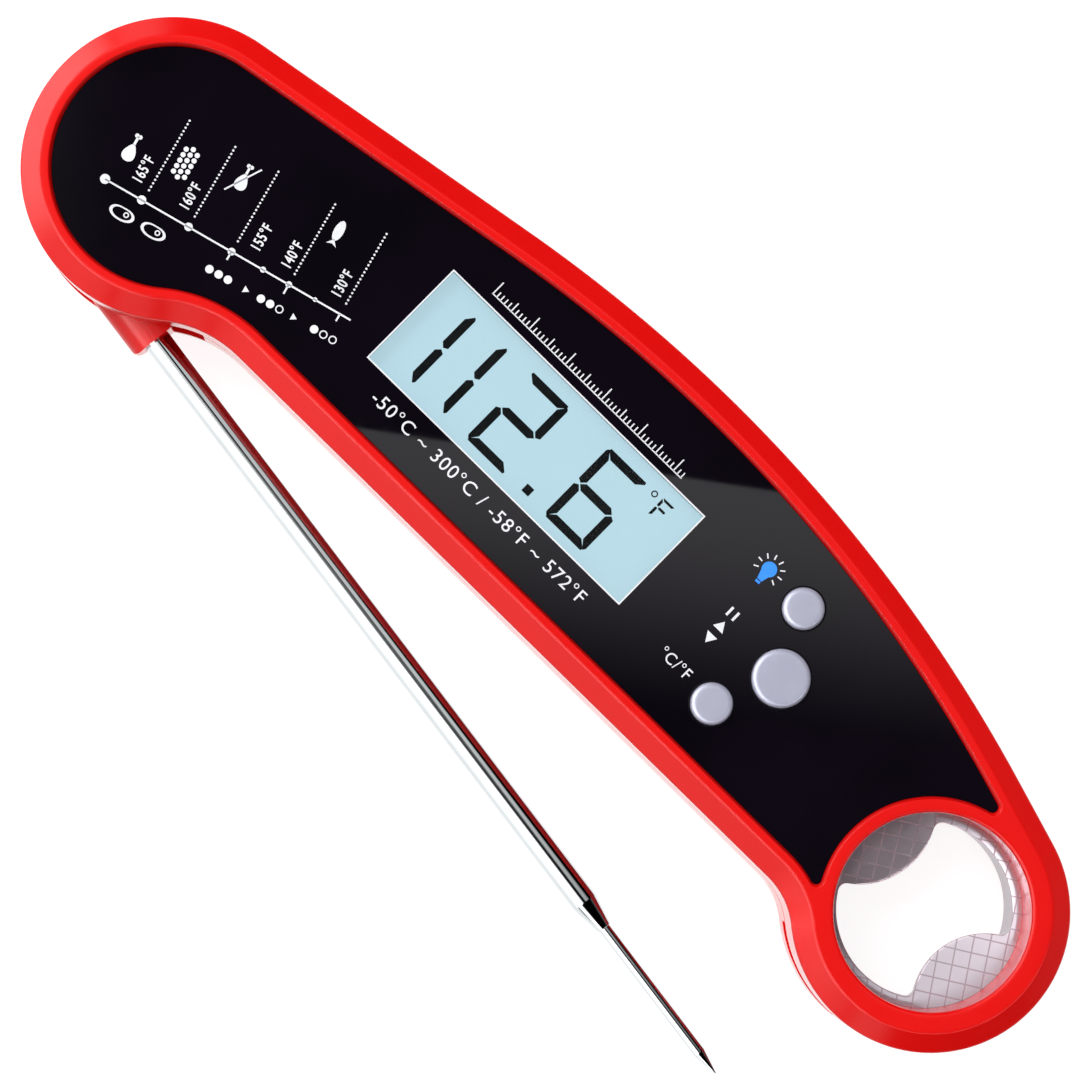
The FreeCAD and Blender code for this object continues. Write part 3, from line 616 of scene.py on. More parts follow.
def see_through(name, color, alpha):
    return plain_plastic(name, color, 0.12, alpha=alpha)


def ink(name, color, glow):
    """Screen ink, slightly uneven, which glows a little: painted light that makes it brighter than the lamps
    alone would.
    """
    return plain_plastic(name, color, 0.45, glow=glow)


# white print, which glows a little as painted light
WHITE_INK_PAINTED_GLOW = ink("white_ink_painted_glow", (0.80, 0.81, 0.84), 0.12)
SLOT_MATERIALS = {
    "red_shell": red_plastic(),
    "black_panel": black_gloss(),
    "clear_pane": see_through("light_guide", (0.85, 0.93, 0.96), 0.5),
    "display_film": lcd_painted_glow(),
    "silver_buttons": silver_plastic(),
    "polished_steel": polished_steel(),
    "opener_steel": opener_steel(),
    "plain_steel": plain_metal("screw_steel", (0.55, 0.55, 0.57), 0.3),
    "magnet_nickel": plain_metal("magnet_nickel", (0.66, 0.64, 0.6), 0.2),
    "display_glass": see_through("display_glass", (0.6, 0.8, 0.85), 0.6),
    "reed_glass": see_through("reed_glass", (0.6, 0.8, 0.7), 0.5),
}
for slot_name, slot_color, slot_roughness in (
    ("white_frame", (0.8, 0.82, 0.83), 0.5),
    ("dark_rubber", (0.02, 0.02, 0.02), 0.8),
    ("grey_silicone", (0.35, 0.35, 0.37), 0.65),
    ("green_board", (0.01, 0.13, 0.05), 0.35),
    ("black_chip", (0.015, 0.015, 0.016), 0.6),
    ("sensor_epoxy", (0.08, 0.02, 0.01), 0.4),
    ("lead_insulation", (0.7, 0.68, 0.6), 0.55),
):
    SLOT_MATERIALS[slot_name] = plain_plastic(slot_name, slot_color, slot_roughness)


def dress_cad_nodes():
    """Every CAD node that stays visible takes its slot's material."""
    slot_of = {entry["node"]: entry["material_slot"] for entry in frame["record"]["subparts"]}
    for name, node in frame["nodes"].items():
        made = SLOT_MATERIALS[slot_of[name]]
        if not node.material_slots:
            node.data.materials.append(made)
        for entry in node.material_slots:
            entry.material = made


# ======== case
def hub_space():
    """The round pocket, the sector that the arm sweeps and the wider place for its heel."""
    outline = trace([
        (HEAD, POCKET_R, SWEEP[1] - 360, HEEL_FROM, 48),
        (HEAD, HEEL_R, HEEL_FROM, SWEEP[0], 12),
        (HEAD, SWEEP_R, SWEEP[0], SWEEP[1], 90),
    ])
    return prism("hub_space", outline, *POCKET_Z)


def cavity(bottom, top, hub):
    """The hollow inside the walls, clear of the ring, and of the hub if asked."""
    space = prism("cavity", case_outline(WALL_T), bottom, top)
    blockers = [drill(RING, RING_WALL_R, bottom - 1, top + 1)]
    if hub:
        blockers.append(drill(HEAD, HUB_WALL_R, bottom - 1, top + 1))
    return combine(space, blockers)


def front_case():
    """The upper shell: bevelled and rounded rim, recess for the panel, and the opener ring's mouth."""
    solid = Solid()
    outer = solid.sleeve(case_outline, rounded([
        (SEAM_CHAMFER, SPLIT_Z, 0),
        (0.0, SPLIT_Z + SEAM_CHAMFER, 0.15),
        (0.0, CASE_H - BEVEL_H, 0.45),
        (BEVEL_W, CASE_H, 0.8),
        (MOUTH_INSET - 0.25, CASE_H, 0),
    ]))
    lip = MOUTH_INSET - PANEL_INSET
    mouth = solid.sleeve(panel_outline, rounded([
        (lip - 0.15, CASE_H, 0),
        (lip + 0.05, CASE_H, 0.12),
        (0.0, PANEL_TOP, 0),
        (0.0, PANEL_BOTTOM, 0),
    ]))
    hole = solid.sleeve(ring_circle, rounded([
        (RING_HOLE_R + 0.9, CASE_H, 0),
        (RING_HOLE_R, CASE_H, 0.55),
        (RING_HOLE_R, SPLIT_Z, 0),
    ]))
    solid.cap(outer[-1], mouth[0], hole[0])
    solid.cap(outer[0], hole[-1])
    solid.cap(mouth[-1])
    shell = solid.object("front_case")
    web_bottom = PANEL_BOTTOM - WEB_T
    through_web = (web_bottom - 1, PANEL_BOTTOM + 0.5)
    cutters = [
        hub_space(),
        drill(HEAD, BUSH_R, SPLIT_Z - 1, DECK_TOP + 0.8, 64),
        cavity(SPLIT_Z - 1, DECK_TOP + 0.2, True),
        cavity(DECK_TOP, web_bottom, False),
        prism("window", window_outline(1), *through_web),
    ]
    for name in BUTTONS:
        centre, radius = button_place(name)
        cutters.append(drill(centre, radius + BUTTON_GAP, *through_web))
    combine(shell, cutters)
    place(shell, "case", "red_shell", ["front_shell"])


def rear_case():
    """The lower shell: rounded rear edge, battery opening, screw wells, probe notch and hub pocket."""
    solid = Solid()
    outer = solid.sleeve(case_outline, rounded([
        (SEAM_CHAMFER, SPLIT_Z, 0),
        (0.0, SPLIT_Z - SEAM_CHAMFER, 0.15),
        (0.0, 0.0, 1.55),
        (3.0, 0.0, 0),
    ], 9))
    bore = OPENER_BORE_R + 0.5
    hole = solid.sleeve(ring_circle, rounded([
        (bore + 0.8, 0, 0),
        (bore, 0, 0.4),
        (bore, OPENER_LOW[2], 0),
        (RING_HOLE_R, OPENER_LOW[2], 0),
        (RING_HOLE_R, SPLIT_Z, 0),
    ]))
    pits = [solid.pit(circle(centre, 2.3, 48), 0, 1.7) for centre in CASE_SCREWS]
    pits.append(solid.pit(circle(CELL, COVER_R + 0.15, 144), 0, 1.15))
    for outline in cover_signs():
        pits.append(solid.pit(outline, 0, ENGRAVED))
    solid.cap(outer[-1], hole[0], *pits)
    solid.cap(outer[0], hole[-1])
    shell = solid.object("rear_case")
    notch = rectangle((118.5, 131.5), (-RING_R - 1, -PROBE_OFFSET + 1.15))
    combine(shell, [
        hub_space(),
        drill(HEAD, BUSH_R, BUSH_BOTTOM, SPLIT_Z + 1, 64),
        cavity(FLOOR_T, SPLIT_Z + 1, True),
        drill(CELL, 11.0, 1.0, 5, 144),
        prism("notch", notch, PROBE_Z - 1.3, PROBE_Z + 1.3),
    ])
    place(shell, "case", "red_shell", ["rear_shell"])


def cover_signs():
    """The marks beside the battery cover: a pointer where it locks, and two short bars where it opens."""
    signs = []
    for turn in (0, 180):
        signs.append([polar(CELL, 13.0, turn), polar(CELL, 14.6, turn + 3.6), polar(CELL, 14.6, turn - 3.6)])
        for aside in (-2.2, 2.2):
            middle = turn - UNLOCK_ANGLE + aside
            corners = ((13.1, -0.8), (14.5, -0.8), (14.5, 0.8), (13.1, 0.8))
            signs.append([polar(CELL, radius, middle + off) for radius, off in corners])
    return signs


def cover_arrows():
    """A curved arrow on each half of the battery cover, which shows which way it opens."""
    outlines = []
    for turn in (60, 240):
        outline = [polar(CELL, 11.0, turn - 2.5 * step) for step in range(17)]
        outline += [polar(CELL, 11.5, turn - 40), polar(CELL, 10.65, turn - 50), polar(CELL, 9.8, turn - 40)]
        outline += [polar(CELL, 10.3, turn - 40 + 2.5 * step) for step in range(17)]
        outlines.append(outline)
    return outlines


def button_place(name):
    """A button's centre and its cap's radius, from its CAD node."""
    low, high = node_box(name + "_button")
    return ((low[0] + high[0]) / 2, (low[1] + high[1]) / 2), (high[0] - low[0]) / 2 - BUTTON_FLANGE


def window_outline(grow):
    """The display window's outline, moved outwards."""
    xs = (WINDOW_LOW[0] - grow, WINDOW_HIGH[0] + grow)
    return rectangle(xs, (WINDOW_LOW[1] - grow, WINDOW_HIGH[1] + grow))


def face_panel():
    """The gloss black overlay with its window and the softened button holes."""
    solid = Solid()
    gap = 0.06
    outer = solid.sleeve(panel_outline, ((gap, PANEL_BOTTOM), (gap, PANEL_TOP)))
    holes = [solid.sleeve(window_outline, ((0, PANEL_BOTTOM), (0, PANEL_TOP)))]
    for name in BUTTONS:
        centre, radius = button_place(name)
        radius += BUTTON_GAP
        lip = [(radius, PANEL_BOTTOM), (radius, PANEL_TOP - 0.12), (radius + 0.12, PANEL_TOP)]
        holes.append(solid.sleeve(lambda r: circle(centre, r, 72), lip))
    solid.cap(outer[-1], *[hole[-1] for hole in holes])
    solid.cap(outer[0], *[hole[0] for hole in holes])
    place(solid.object("panel_overlay"), "case", "black_panel", ["face_panel"])


def display():
    """The clear pane, its white printed edge, the background, which glows evenly as painted light, and the
    black segments.
    """
    solid = Solid()
    sides = ((0, PANEL_BOTTOM), (0, PANEL_TOP - 0.08), (-0.08, PANEL_TOP))
    solid.stack([solid.ring(window_outline(grow), z) for grow, z in sides])
    pane = solid.object("window_pane", 20)
    place(pane, "case", "clear_pane", ["display_window"], material=clear_pane(), even=False)
    film_z = FILM_HIGH[2]
    # the film's face, whose material glows as painted light
    light = prism("display_painted_glow", window_outline(0.5), film_z + 0.01, film_z + 0.05)
    place(light, "case", "display_film", even=False)
    edge = Print()
    edge.band(window_outline(0.16), window_outline(-0.02))
    edge.finish("window_edge", WHITE_INK_PAINTED_GLOW)
    digits = Print(film_z + 0.05)
    for digit, x in (("1", 32.7), ("1", 38.1), ("2", 48.6), ("6", 62.05)):
        for bar in digit_segments(digit, x):
            digits.fill(bar)
    digits.fill(rectangle((58.05, 59.2), (1.75, 2.9)))
    unit_sign(digits, (70.1, 12.95), (71.25, 10.65))
    digits.finish("display_digits", lcd_ink(), "black_chip")


def digit_segments(digit, x):
    """The seven-segment bars of a digit whose left edge is at x, mitred where they meet."""
    left, right = x, x + DIGIT_W
    low, high = DIGIT_LOW_Y, DIGIT_HIGH_Y
    middle = (low + high) / 2
    t, g, half, cut = SEGMENT_T, SEGMENT_GAP, SEGMENT_T / 2, SEGMENT_TIP
    bars = {
        "g": [
            (left + g + half * 0.9, middle),
            (left + t + g, middle + half),
            (right - t - g, middle + half),
            (right - g - half * 0.9, middle),
            (right - t - g, middle - half),
            (left + t + g, middle - half),
        ],
    }
    for name, end, up in (("a", high, 1), ("d", low, -1)):
        bars[name] = [
            (left + g + cut * 0.6, end),
            (right - g - cut * 0.6, end),
            (right - g - 0.15, end - up * 0.3),
            (right - t - g, end - up * t),
            (left + t + g, end - up * t),
            (left + g + 0.15, end - up * 0.3),
        ]
    for name, outer_x, inner_x, y_end, y_mid in (
        ("b", right, right - t, high, middle),
        ("c", right, right - t, low, middle),
        ("f", left, left + t, high, middle),
        ("e", left, left + t, low, middle),
    ):
        up = 1 if y_end > y_mid else -1
        centre_x = (outer_x + inner_x) / 2
        bars[name] = [
            (outer_x, y_mid + up * (g + half * 0.55)),
            (outer_x, y_end - up * (cut + g)),
            (outer_x + (inner_x - outer_x) * 0.18, y_end - up * (g + 0.12)),
            (outer_x + (inner_x - outer_x) * 0.30, y_end - up * (g + 0.12)),
            (inner_x, y_end - up * (t + g)),
            (inner_x, y_mid + up * (g + half)),
            (centre_x, y_mid + up * g),
        ]
    return [bars[name] for name in SEGMENTS_OF[digit]]


def unit_sign(digits, degree, letter):
    """A small degree ring and a segmented F."""
    digits.loop(degree, 0.36, 0.17, 12)
    for bar in (
        [(0, 2.75), (1.85, 2.75), (1.6, 2.42), (0.35, 2.42)],
        [(-0.05, 2.6), (0.33, 2.25), (0.33, 1.6), (0.165, 1.47), (-0.05, 1.6)],
        [(-0.05, 0), (-0.05, 1.2), (0.165, 1.35), (0.33, 1.2), (0.33, 0.3)],
        [(0.35, 1.4), (0.5, 1.57), (1.35, 1.57), (1.5, 1.4), (1.35, 1.23), (0.5, 1.23)],
    ):
        digits.fill([(letter[0] + x, letter[1] + y) for x, y in bar])


def buttons():
    """The three silver caps: flat tops with a soft rim, and a flange under the web."""
    for name in BUTTONS:
        centre, radius = button_place(name)
        low, high = node_box(name + "_button")
        flange_top = low[2] + 1.0
        profile = rounded([
            (radius + BUTTON_FLANGE, low[2], 0),
            (radius + BUTTON_FLANGE, flange_top, 0),
            (radius, flange_top, 0),
            (radius, high[2], BUTTON_ROUND),
            (radius * 0.4, high[2], 0),
        ], 10)
        cap = turned(name + "_cap", centre, profile, 96, 40)
        place(cap, name + "_button", "silver_buttons", [name + "_button"])


# ======== opener
def opener_mouth(grow):
    """The opening between the tabs, with rounded roots, grown outwards."""
    inner_r = OPENER_BORE_R - TAB_FILLET_R
    pieces = []
    for turn in (TAB_ANGLE, TAB_ANGLE + 180):
        tab = polar(RING, TAB_CENTRE, turn)
        first, second = [meet(RING, inner_r, tab, TAB_R + TAB_FILLET_R, side) for side in (-1, 1)]
        back = turn + 180
        half_tab = abs((angle_of(tab, second) - back + 180) % 360 - 180)
        half_ring = abs((angle_of(RING, second) - turn + 180) % 360 - 180)
        pieces.append((first, TAB_FILLET_R + grow, turn - half_ring, back + half_tab - 180, 14))
        pieces.append((tab, TAB_R - grow, back + half_tab, back - half_tab, 48))
        pieces.append((second, TAB_FILLET_R + grow, back - half_tab - 180, turn + half_ring, 14))
        pieces.append((RING, OPENER_BORE_R + grow, turn + half_ring, back - half_ring, 48))
    return trace(pieces)


def opener():
    """The steel insert: a sleeve with a thick plate, whose tabs dish slightly towards the middle."""
    low, high = OPENER_LOW[2], OPENER_HIGH[2]
    plate_low = high - OPENER_PLATE_T
    solid = Solid()

    def outward(radius, share=1.0):
        """The mouth's points, moved a share of the way out to a radius from the ring's axis."""
        points = []
        for p in opener_mouth(0):
            start = math.dist(RING, p)
            points.append(polar(RING, start + (radius - start) * share, angle_of(RING, p)))
        return points

    def dished(points, depth=0.0):
        drops = [TAB_DISH * max(0.0, DISH_R - math.dist(RING, p)) for p in points]
        return solid.loose_ring([(*p, high - drop - depth) for p, drop in zip(points, drops)])

    outer_r = RING_HOLE_R - 0.02
    rings = [solid.ring(outward(outer_r), low)]
    rings += [dished(outward(outer_r, share)) for share in (1.0, 0.8, 0.6, 0.4, 0.2, 0.08)]
    for grow, depth in rounded([(0.2, 0, 0), (0, 0, 0.14), (0, 0.16, 0)], 4)[1:]:
        rings.append(dished(opener_mouth(grow), depth))
    for grow, up in rounded([(0, 0.16, 0), (0, 0, 0.14), (0.25, 0, 0)], 3)[1:]:
        rings.append(solid.ring(opener_mouth(grow), plate_low + up))
    rings += [solid.ring(outward(OPENER_BORE_R + 0.3), z) for z in (plate_low, low)]
    solid.wall(rings + rings[:1])
    place(solid.object("opener_plate"), "case", "opener_steel", ["opener_insert"])


# ======== probe
def probe_arm():
    """The hub disc and the arm, whose outer side is rounded top and bottom."""
    corner = 0.9
    outer = (ARM_END - corner, -ARM_EDGE + corner)
    inner = (ARM_END - corner, -ARM_INNER - corner)
    plan = trace([
        (HEAD, ARM_EDGE, -118, -90, 24),
        (outer, corner, -90, 0, 10),
        (inner, corner, 0, 100, 10),
        (HEAD, 10.0, -42, -118, 12),
    ])
    arm = prism("probe_arm", plan, HUB_Z[0] - 1, HUB_Z[1] + 1)
    bar = Solid()
    round_start = ARM_ROUND - ARM_EDGE
    low, high = HUB_Z[0] + SKIN, HUB_Z[1] - SKIN
    section = [(0, low)]
    for step in range(25):
        a = math.radians(-90 + 7.5 * step)
        y = round_start - ARM_ROUND * math.cos(a)
        section.append((y, (low + high) / 2 + (high - low) / 2 * math.sin(a)))
    section.append((0, high))
    bar.rod([bar.loose_ring([(x, y, z) for y, z in section]) for x in (-HUB_R, ARM_END + 1)])
    combine(arm, [bar.object("arm_bar")], "INTERSECT")
    bore = BUSH_R + 0.05
    disc_profile = rounded([
        (bore, HUB_Z[0], 0),
        (HUB_R, HUB_Z[0], 0.4),
        (HUB_R, HUB_Z[1], 0.4),
        (bore, HUB_Z[1], 0),
    ], 4)
    combine(arm, [turned("hub_disc", HEAD, disc_profile, 160, closed=True)], "UNION")
    combine(arm, [turned_on_probe("tube_bore", [(TUBE_START, TUBE_R), (ARM_END + 2, TUBE_R)], 48, 0.0)])
    arm.data.transform(Matrix.Rotation(math.radians(PROBE_ANGLE), 4, "Z"))
    place(arm, "probe", "red_shell", ["probe_hub"])


def probe_rod():
    """The polished tube with its taper, and the needle with its sharp point."""
    tube = turned_on_probe("tube_skin", rounded([
        (TUBE_START, TUBE_R, 0),
        (TUBE_END, TUBE_R, 0.6),
        (TUBE_END + TAPER_LEN, NEEDLE_R + 0.15, 0.12),
        (TUBE_END + TAPER_LEN, NEEDLE_R + 0.01, 0),
    ], 6))
    place(tube, "probe", "polished_steel", ["probe_tube"])
    needle = turned_on_probe("needle_skin", rounded([
        (TUBE_END + 1.0, NEEDLE_R, 0),
        (PROBE_LEN - POINT_LEN, NEEDLE_R, 0.5),
        (PROBE_LEN, 0.1, 0.08),
        (PROBE_LEN, 0.02, 0),
    ], 6))
    place(needle, "probe", "polished_steel", ["probe_needle"])


# ======== printing
class Print:
    """Flat printed shapes gathered into one thin piece on the panel."""

    def __init__(self, z=PANEL_TOP):
        self.solid = Solid()
        self.z = z + INK_LIFT

    def fill(self, outline):
        self.solid.stack([self.solid.ring(outline, self.z), self.solid.ring(outline, self.z + INK_T)])

    def band(self, outer, inner):
        """A flat ring between two outlines with as many points."""
        rings = [self.solid.ring(outline, z) for outline, z in
                 ((outer, self.z), (outer, self.z + INK_T), (inner, self.z + INK_T), (inner, self.z))]
        self.solid.wall(rings + rings[:1])

    def line(self, start, end, width):
        start, end = Vector(start), Vector(end)
        run = end - start
        side = Vector((-run.y, run.x)).normalized() * width / 2
        self.fill([start - side, end - side, end + side, start + side])

    def dot(self, centre, radius, steps=20):
        self.fill(circle(centre, radius, steps))

    def loop(self, centre, radius, width, steps=32):
        self.band(circle(centre, radius + width / 2, steps), circle(centre, radius - width / 2, steps))

    def text(self, words, centre, height, turn=0.0, stretch=1.0, spacing=1.0, weight=0.0):
        """Generic numerals and unit signs, centred on a place."""
        curve = bpy.data.curves.new("numerals", "FONT")
        curve.body = words
        curve.size = height * 1.4 * MM
        curve.align_x = "CENTER"
        curve.align_y = "CENTER"
        curve.space_character = spacing
        curve.offset = weight * MM
        curve.extrude = INK_T * MM / 2
        curve.resolution_u = 6
        made = add_object("numerals", curve)
        bpy.context.view_layer.update()
        data = bpy.data.meshes.new_from_object(made)
        move = Matrix.Translation(Vector((*centre, self.z + INK_T / 2)) * MM)
        rotate = Matrix.Rotation(math.radians(turn), 4, "Z")
        data.transform(move @ rotate @ Matrix.Diagonal((stretch, 1, 1, 1)))
        self.solid.mesh.from_mesh(data)
        bpy.data.objects.remove(made)

    def finish(self, name, material, slot="white_frame"):
        place(self.solid.object(name), "case", slot, material=material, even=False)


def axes_at(centre, turn, size):
    """A function that turns (along, aside), in the size of a sign, into a place on the panel."""
    forward = Vector(polar((0, 0), size, turn))
    left = Vector((-forward.y, forward.x))
    return lambda along, aside: Vector(centre) + forward * along + left * aside


on_scale = axes_at(SCALE_START, SCALE_ANGLE, 1.0)
UPRIGHT = SCALE_ANGLE + 90


def scale_print():
    """The slanting scale: line, dots, ticks, dotted dividers, numerals and small signs."""
    mark = Print()
    mark.line(on_scale(0, 0), on_scale(SCALE_LEN, 0), 0.22)
    for along, radius in ((0, 0.62), (5.15, 0.56), (11.75, 0.52), (17.81, 0.47),
                          (22.23, 0.37), (25.88, 0.40), (29.58, 0.28)):
        mark.dot(on_scale(along, 0.02), radius)
    for along, length in ((17.81, 1.15), (25.88, 1.3), (33.1, 1.0)):
        mark.line(on_scale(along, 0), on_scale(along, -length), 0.22)
    for along in (5.33, 11.77, 17.85, 25.86, 33.12):
        for step in range(21):
            mark.dot(on_scale(along, 1.5 + 0.495 * step), 0.14, 10)
    for number, along in ((165, 3.51), (160, 10.12), (155, 20.18), (140, 24.47), (130, 31.54)):
        mark.text(f"{number}°F", on_scale(along, 3.35), 1.35, UPRIGHT, 0.72, 1.12, 0.035)
    for along in (21.7, 28.43):
        tip = on_scale(along + 0.42, -3.2)
        mark.fill([on_scale(along - 0.32, -2.75), on_scale(along - 0.32, -3.65), tip])
    return mark


def around(steps, shape):
    """The points of a closed curve, whose shape gives a point for an angle."""
    return [shape(2 * math.pi * step / steps) for step in range(steps)]


def bird_leg(mark, centre, turn, size):
    """A drumstick sign: an egg-shaped leg and a bone with two knobs."""
    at = axes_at(centre, turn, size)
    mark.fill(around(28, lambda a: at(
        math.cos(a) * 1.15 - 0.25, math.sin(a) * (1.0 - 0.42 * math.cos(a)) * 0.775)))
    mark.line(at(0.8, 0), at(2.0, 0), 0.32 * size)
    for aside in (-0.22, 0.22):
        mark.dot(at(2.0, aside), 0.27 * size, 14)


def fish(mark, centre, turn, size):
    """A fish sign: a lens body and a tail."""
    at = axes_at(centre, turn, size)
    mark.fill(around(28, lambda a: at(1.35 * math.cos(a), 0.62 * math.sin(a))))
    mark.fill([at(-1.15, 0), at(-2.0, 0.7), at(-1.75, 0), at(-2.0, -0.7)])


def mince(mark, centre, turn, size):
    """A minced-meat sign: three rows of beads."""
    at = axes_at(centre, turn, size)
    apart = 0.62
    for row in (-1, 0, 1):
        beads = 6 - abs(row)
        for step in range(beads):
            mark.dot(at((step - (beads - 1) / 2) * apart, row * apart), 0.26 * size, 12)


def steak(mark, centre, turn, size):
    """A cut of meat: a bean-shaped ring with a round bone."""
    at = axes_at(centre, turn, size)

    def bean(scale, a):
        reach = (1.0 + 0.16 * math.cos(2 * a) - 0.13 * math.sin(a)) * scale
        return at(1.45 * math.cos(a) * reach, math.sin(a) * reach)

    mark.band(around(40, lambda a: bean(1.0, a)), around(40, lambda a: bean(0.76, a)))
    mark.loop(at(0.55, 0), 0.28 * size, 0.16 * size, steps=16)


def doneness(mark, centre, level, size):
    """Three small discs, of which some are filled."""
    for index in range(3):
        spot = on_scale(centre + (index - 1) * size * 2.5, -3.2)
        if index < level:
            mark.dot(spot, size, 16)
        else:
            mark.loop(spot, size * 0.86, size * 0.28, steps=18)


def case_print():
    """Everything printed in white and blue on the panel."""
    mark = scale_print()
    bird_leg(mark, on_scale(0.95, 4.6), UPRIGHT, 1.0)
    mince(mark, on_scale(7.5, 6.6), UPRIGHT, 1.25)
    bird_leg(mark, on_scale(14.6, 8.3), UPRIGHT, 0.95)
    mark.line(on_scale(13.2, 6.2), on_scale(16.0, 10.6), 0.2)
    fish(mark, on_scale(27.9, 8.8), UPRIGHT, 1.0)
    steak(mark, on_scale(3.9, -2.55), SCALE_ANGLE, 1.0)
    steak(mark, on_scale(8.3, -2.55), SCALE_ANGLE, 1.0)
    for centre, level in ((17.85, 3), (25.1, 2), (32.6, 1)):
        doneness(mark, centre, level, 0.52)
    mark.finish("scale_marks", WHITE_INK_PAINTED_GLOW)

    strip = Print()
    strip_y = 16.4
    for step in range(53):
        x = 38.7 + 0.62 * step
        length = 1.9 if step % 10 == 0 else 1.35 if step % 5 == 0 else 0.8
        strip.line((x, strip_y), (x, strip_y + length), 0.16)
    strip.line((38.6, strip_y), (71.1, strip_y), 0.14)
    strip.finish("ruler_strip", WHITE_INK_PAINTED_GLOW)

    span = Print()
    span.text("-50°C ~ 300°C / -58°F ~ 572°F", (55.0, -2.75), 1.75, 0, 1.02, 1.12, 0.0)
    span.text("°C/°F", (86.4, -0.35), 1.5, 0, 0.95, 1.08, 0.0)
    for x in (86.7, 87.7):
        span.line((x, 8.3), (x, 9.6), 0.32)
    span.fill([(86.4, 6.3), (88.0, 6.3), (87.2, 7.6)])
    span.fill([(86.4, 5.4), (88.0, 5.4), (87.2, 4.1)])
    span.finish("range_marks", WHITE_INK_PAINTED_GLOW)
    bulb_print()


def bulb_print():
    """The blue lamp sign with its rays."""
    centre = (86.6, 16.0)
    bulb = Print()
    outline = [polar(centre, 0.98, angle) for angle in range(-52, 233, 12)]
    outline += [(centre[0] - 0.36, centre[1] - 1.75), (centre[0] + 0.36, centre[1] - 1.75)]
    bulb.fill(outline)
    bulb.fill(rectangle((centre[0] - 0.34, centre[0] + 0.34), (centre[1] - 2.2, centre[1] - 1.88)))
    # blue print, which glows as painted light, like the white ink
    bulb.finish("lamp_sign", ink("blue_ink_painted_glow", (0.03, 0.25, 0.85), 0.25))
    rays = Print()
    for angle in range(-30, 211, 34):
        rays.line(polar(centre, 1.35, angle), polar(centre, 2.0, angle), 0.16)
    rays.finish("lamp_rays", WHITE_INK_PAINTED_GLOW)


# ======== back
def battery_cover():
    """The turning cover: rounded rim, a shallow dish with a coin slot, and two engraved arrows."""
    low, high = COVER_LOW[2], COVER_HIGH[2]
    solid = Solid()
    rings = solid.sleeve(lambda radius: circle(CELL, radius, 144), rounded([
        (COVER_R - 0.5, low, 0),
        (COVER_R, low, 0.3),
        (COVER_R, low + 1.0, 0.1),
        (10.0, low + 1.0, 0),
        (10.0, high, 0),
        (4.0, high, 0),
    ], 4))
    solid.cap(rings[-1])
    arrows = [solid.pit(outline, low, low + ENGRAVED) for outline in cover_arrows()]
    dish_floor = low + 0.25
    dish = solid.sleeve(lambda radius: circle(CELL, radius), ((9.2, low), (9.2, dish_floor)))
    solid.cap(rings[0], dish[0], *arrows)
    solid.cap(dish[1], solid.pit(oblong(CELL, 8.0, 0.95), dish_floor, low + 1.0))
    place(solid.object("cover_skin"), "battery_cover", "red_shell", ["battery_cover"])


def screws():
    """The case screws: pan heads with crossed slots."""
    shaft_r, head_r = 1.1, 2.1
    shaft_top, head_top, head_low = 12.2, 1.7, 0.3
    profile = rounded([
        (shaft_r, shaft_top, 0),
        (shaft_r, head_top, 0),
        (head_r, head_top, 0.1),
        (head_r, head_low, 0.45),
        (0.6, head_low, 0),
    ], 5)
    for index, centre in enumerate(CASE_SCREWS):
        screw = turned(f"screw_{index}", centre, profile, 48)
        cutters = [prism("slot", oblong(centre, *half), -1, 1.05) for half in ((1.35, 0.28), (0.28, 1.35))]
        place(combine(screw, cutters), "case", "plain_steel", ["case_screws"], even=False)


# ======== studio
PICTURE_RIGHT = Vector((0.7127, 0.7014, 0.0))
PICTURE_UP = Vector((-0.7014, 0.7127, 0.0))
CAMERA_FOOT = Vector((64.0, -30.0, 0.0))
CAMERA_H = 467.0
CAMERA_AIM = Vector((64.0, -1.2, 17.0))
LENS = 123.0
SENSOR = 36.0
MIDDLE = Vector((64.0, 0.0, 8.0))
FLOOR_R = 1500.0
WHITE = (1, 1, 1, 1)


def add_camera():
    data = bpy.data.cameras.new("camera")
    data.lens = LENS
    data.sensor_width = SENSOR
    data.clip_start = 0.01
    data.clip_end = 20
    camera = add_object("camera", data)
    eye = CAMERA_FOOT + Vector((0, 0, CAMERA_H))
    back = (eye - CAMERA_AIM).normalized()
    right = (PICTURE_RIGHT - back * PICTURE_RIGHT.dot(back)).normalized()
    up = back.cross(right)
    turn = Matrix((right, up, back)).transposed().to_4x4()
    camera.matrix_world = Matrix.Translation(eye * MM) @ turn
    bpy.context.scene.camera = camera


def add_floor():
    """A plain white floor, which glows a little so that it stays white, and more where steel mirrors it."""
    solid = Solid()
    edge = circle(MIDDLE.to_2d(), FLOOR_R)
    solid.stack([solid.ring(edge, -0.05), solid.ring(edge, -2.0)])
    floor = solid.object("floor")
    finish = Finish("floor_white", (0.35, 0.35, 0.35), 0.8, specular=0.0)
    finish.uneven(((8, 2), (0.345, 0.345, 0.345), (0.355, 0.355, 0.355)))
    ray = finish.nodes.new("ShaderNodeLightPath").outputs
    unseen = finish.mix(ray["Is Glossy Ray"], 0.05, 1.25)
    finish.sockets["Emission Color"].default_value = WHITE
    finish.links.new(finish.mix(ray["Is Camera Ray"], unseen, 0.84), finish.sockets["Emission Strength"])
    floor.data.materials.append(finish.material)


# the reflected edge of the overhead panel, as two places on the face panel
GLARE_EDGE = (Vector((37.9, -7.1)), Vector((81.5, 24.5)))
LEFT_LIGHT = Vector((-0.92, -0.39, 0.0)).normalized()
FRONT_LIGHT = Vector((-0.14, -0.70, 0.70)).normalized()


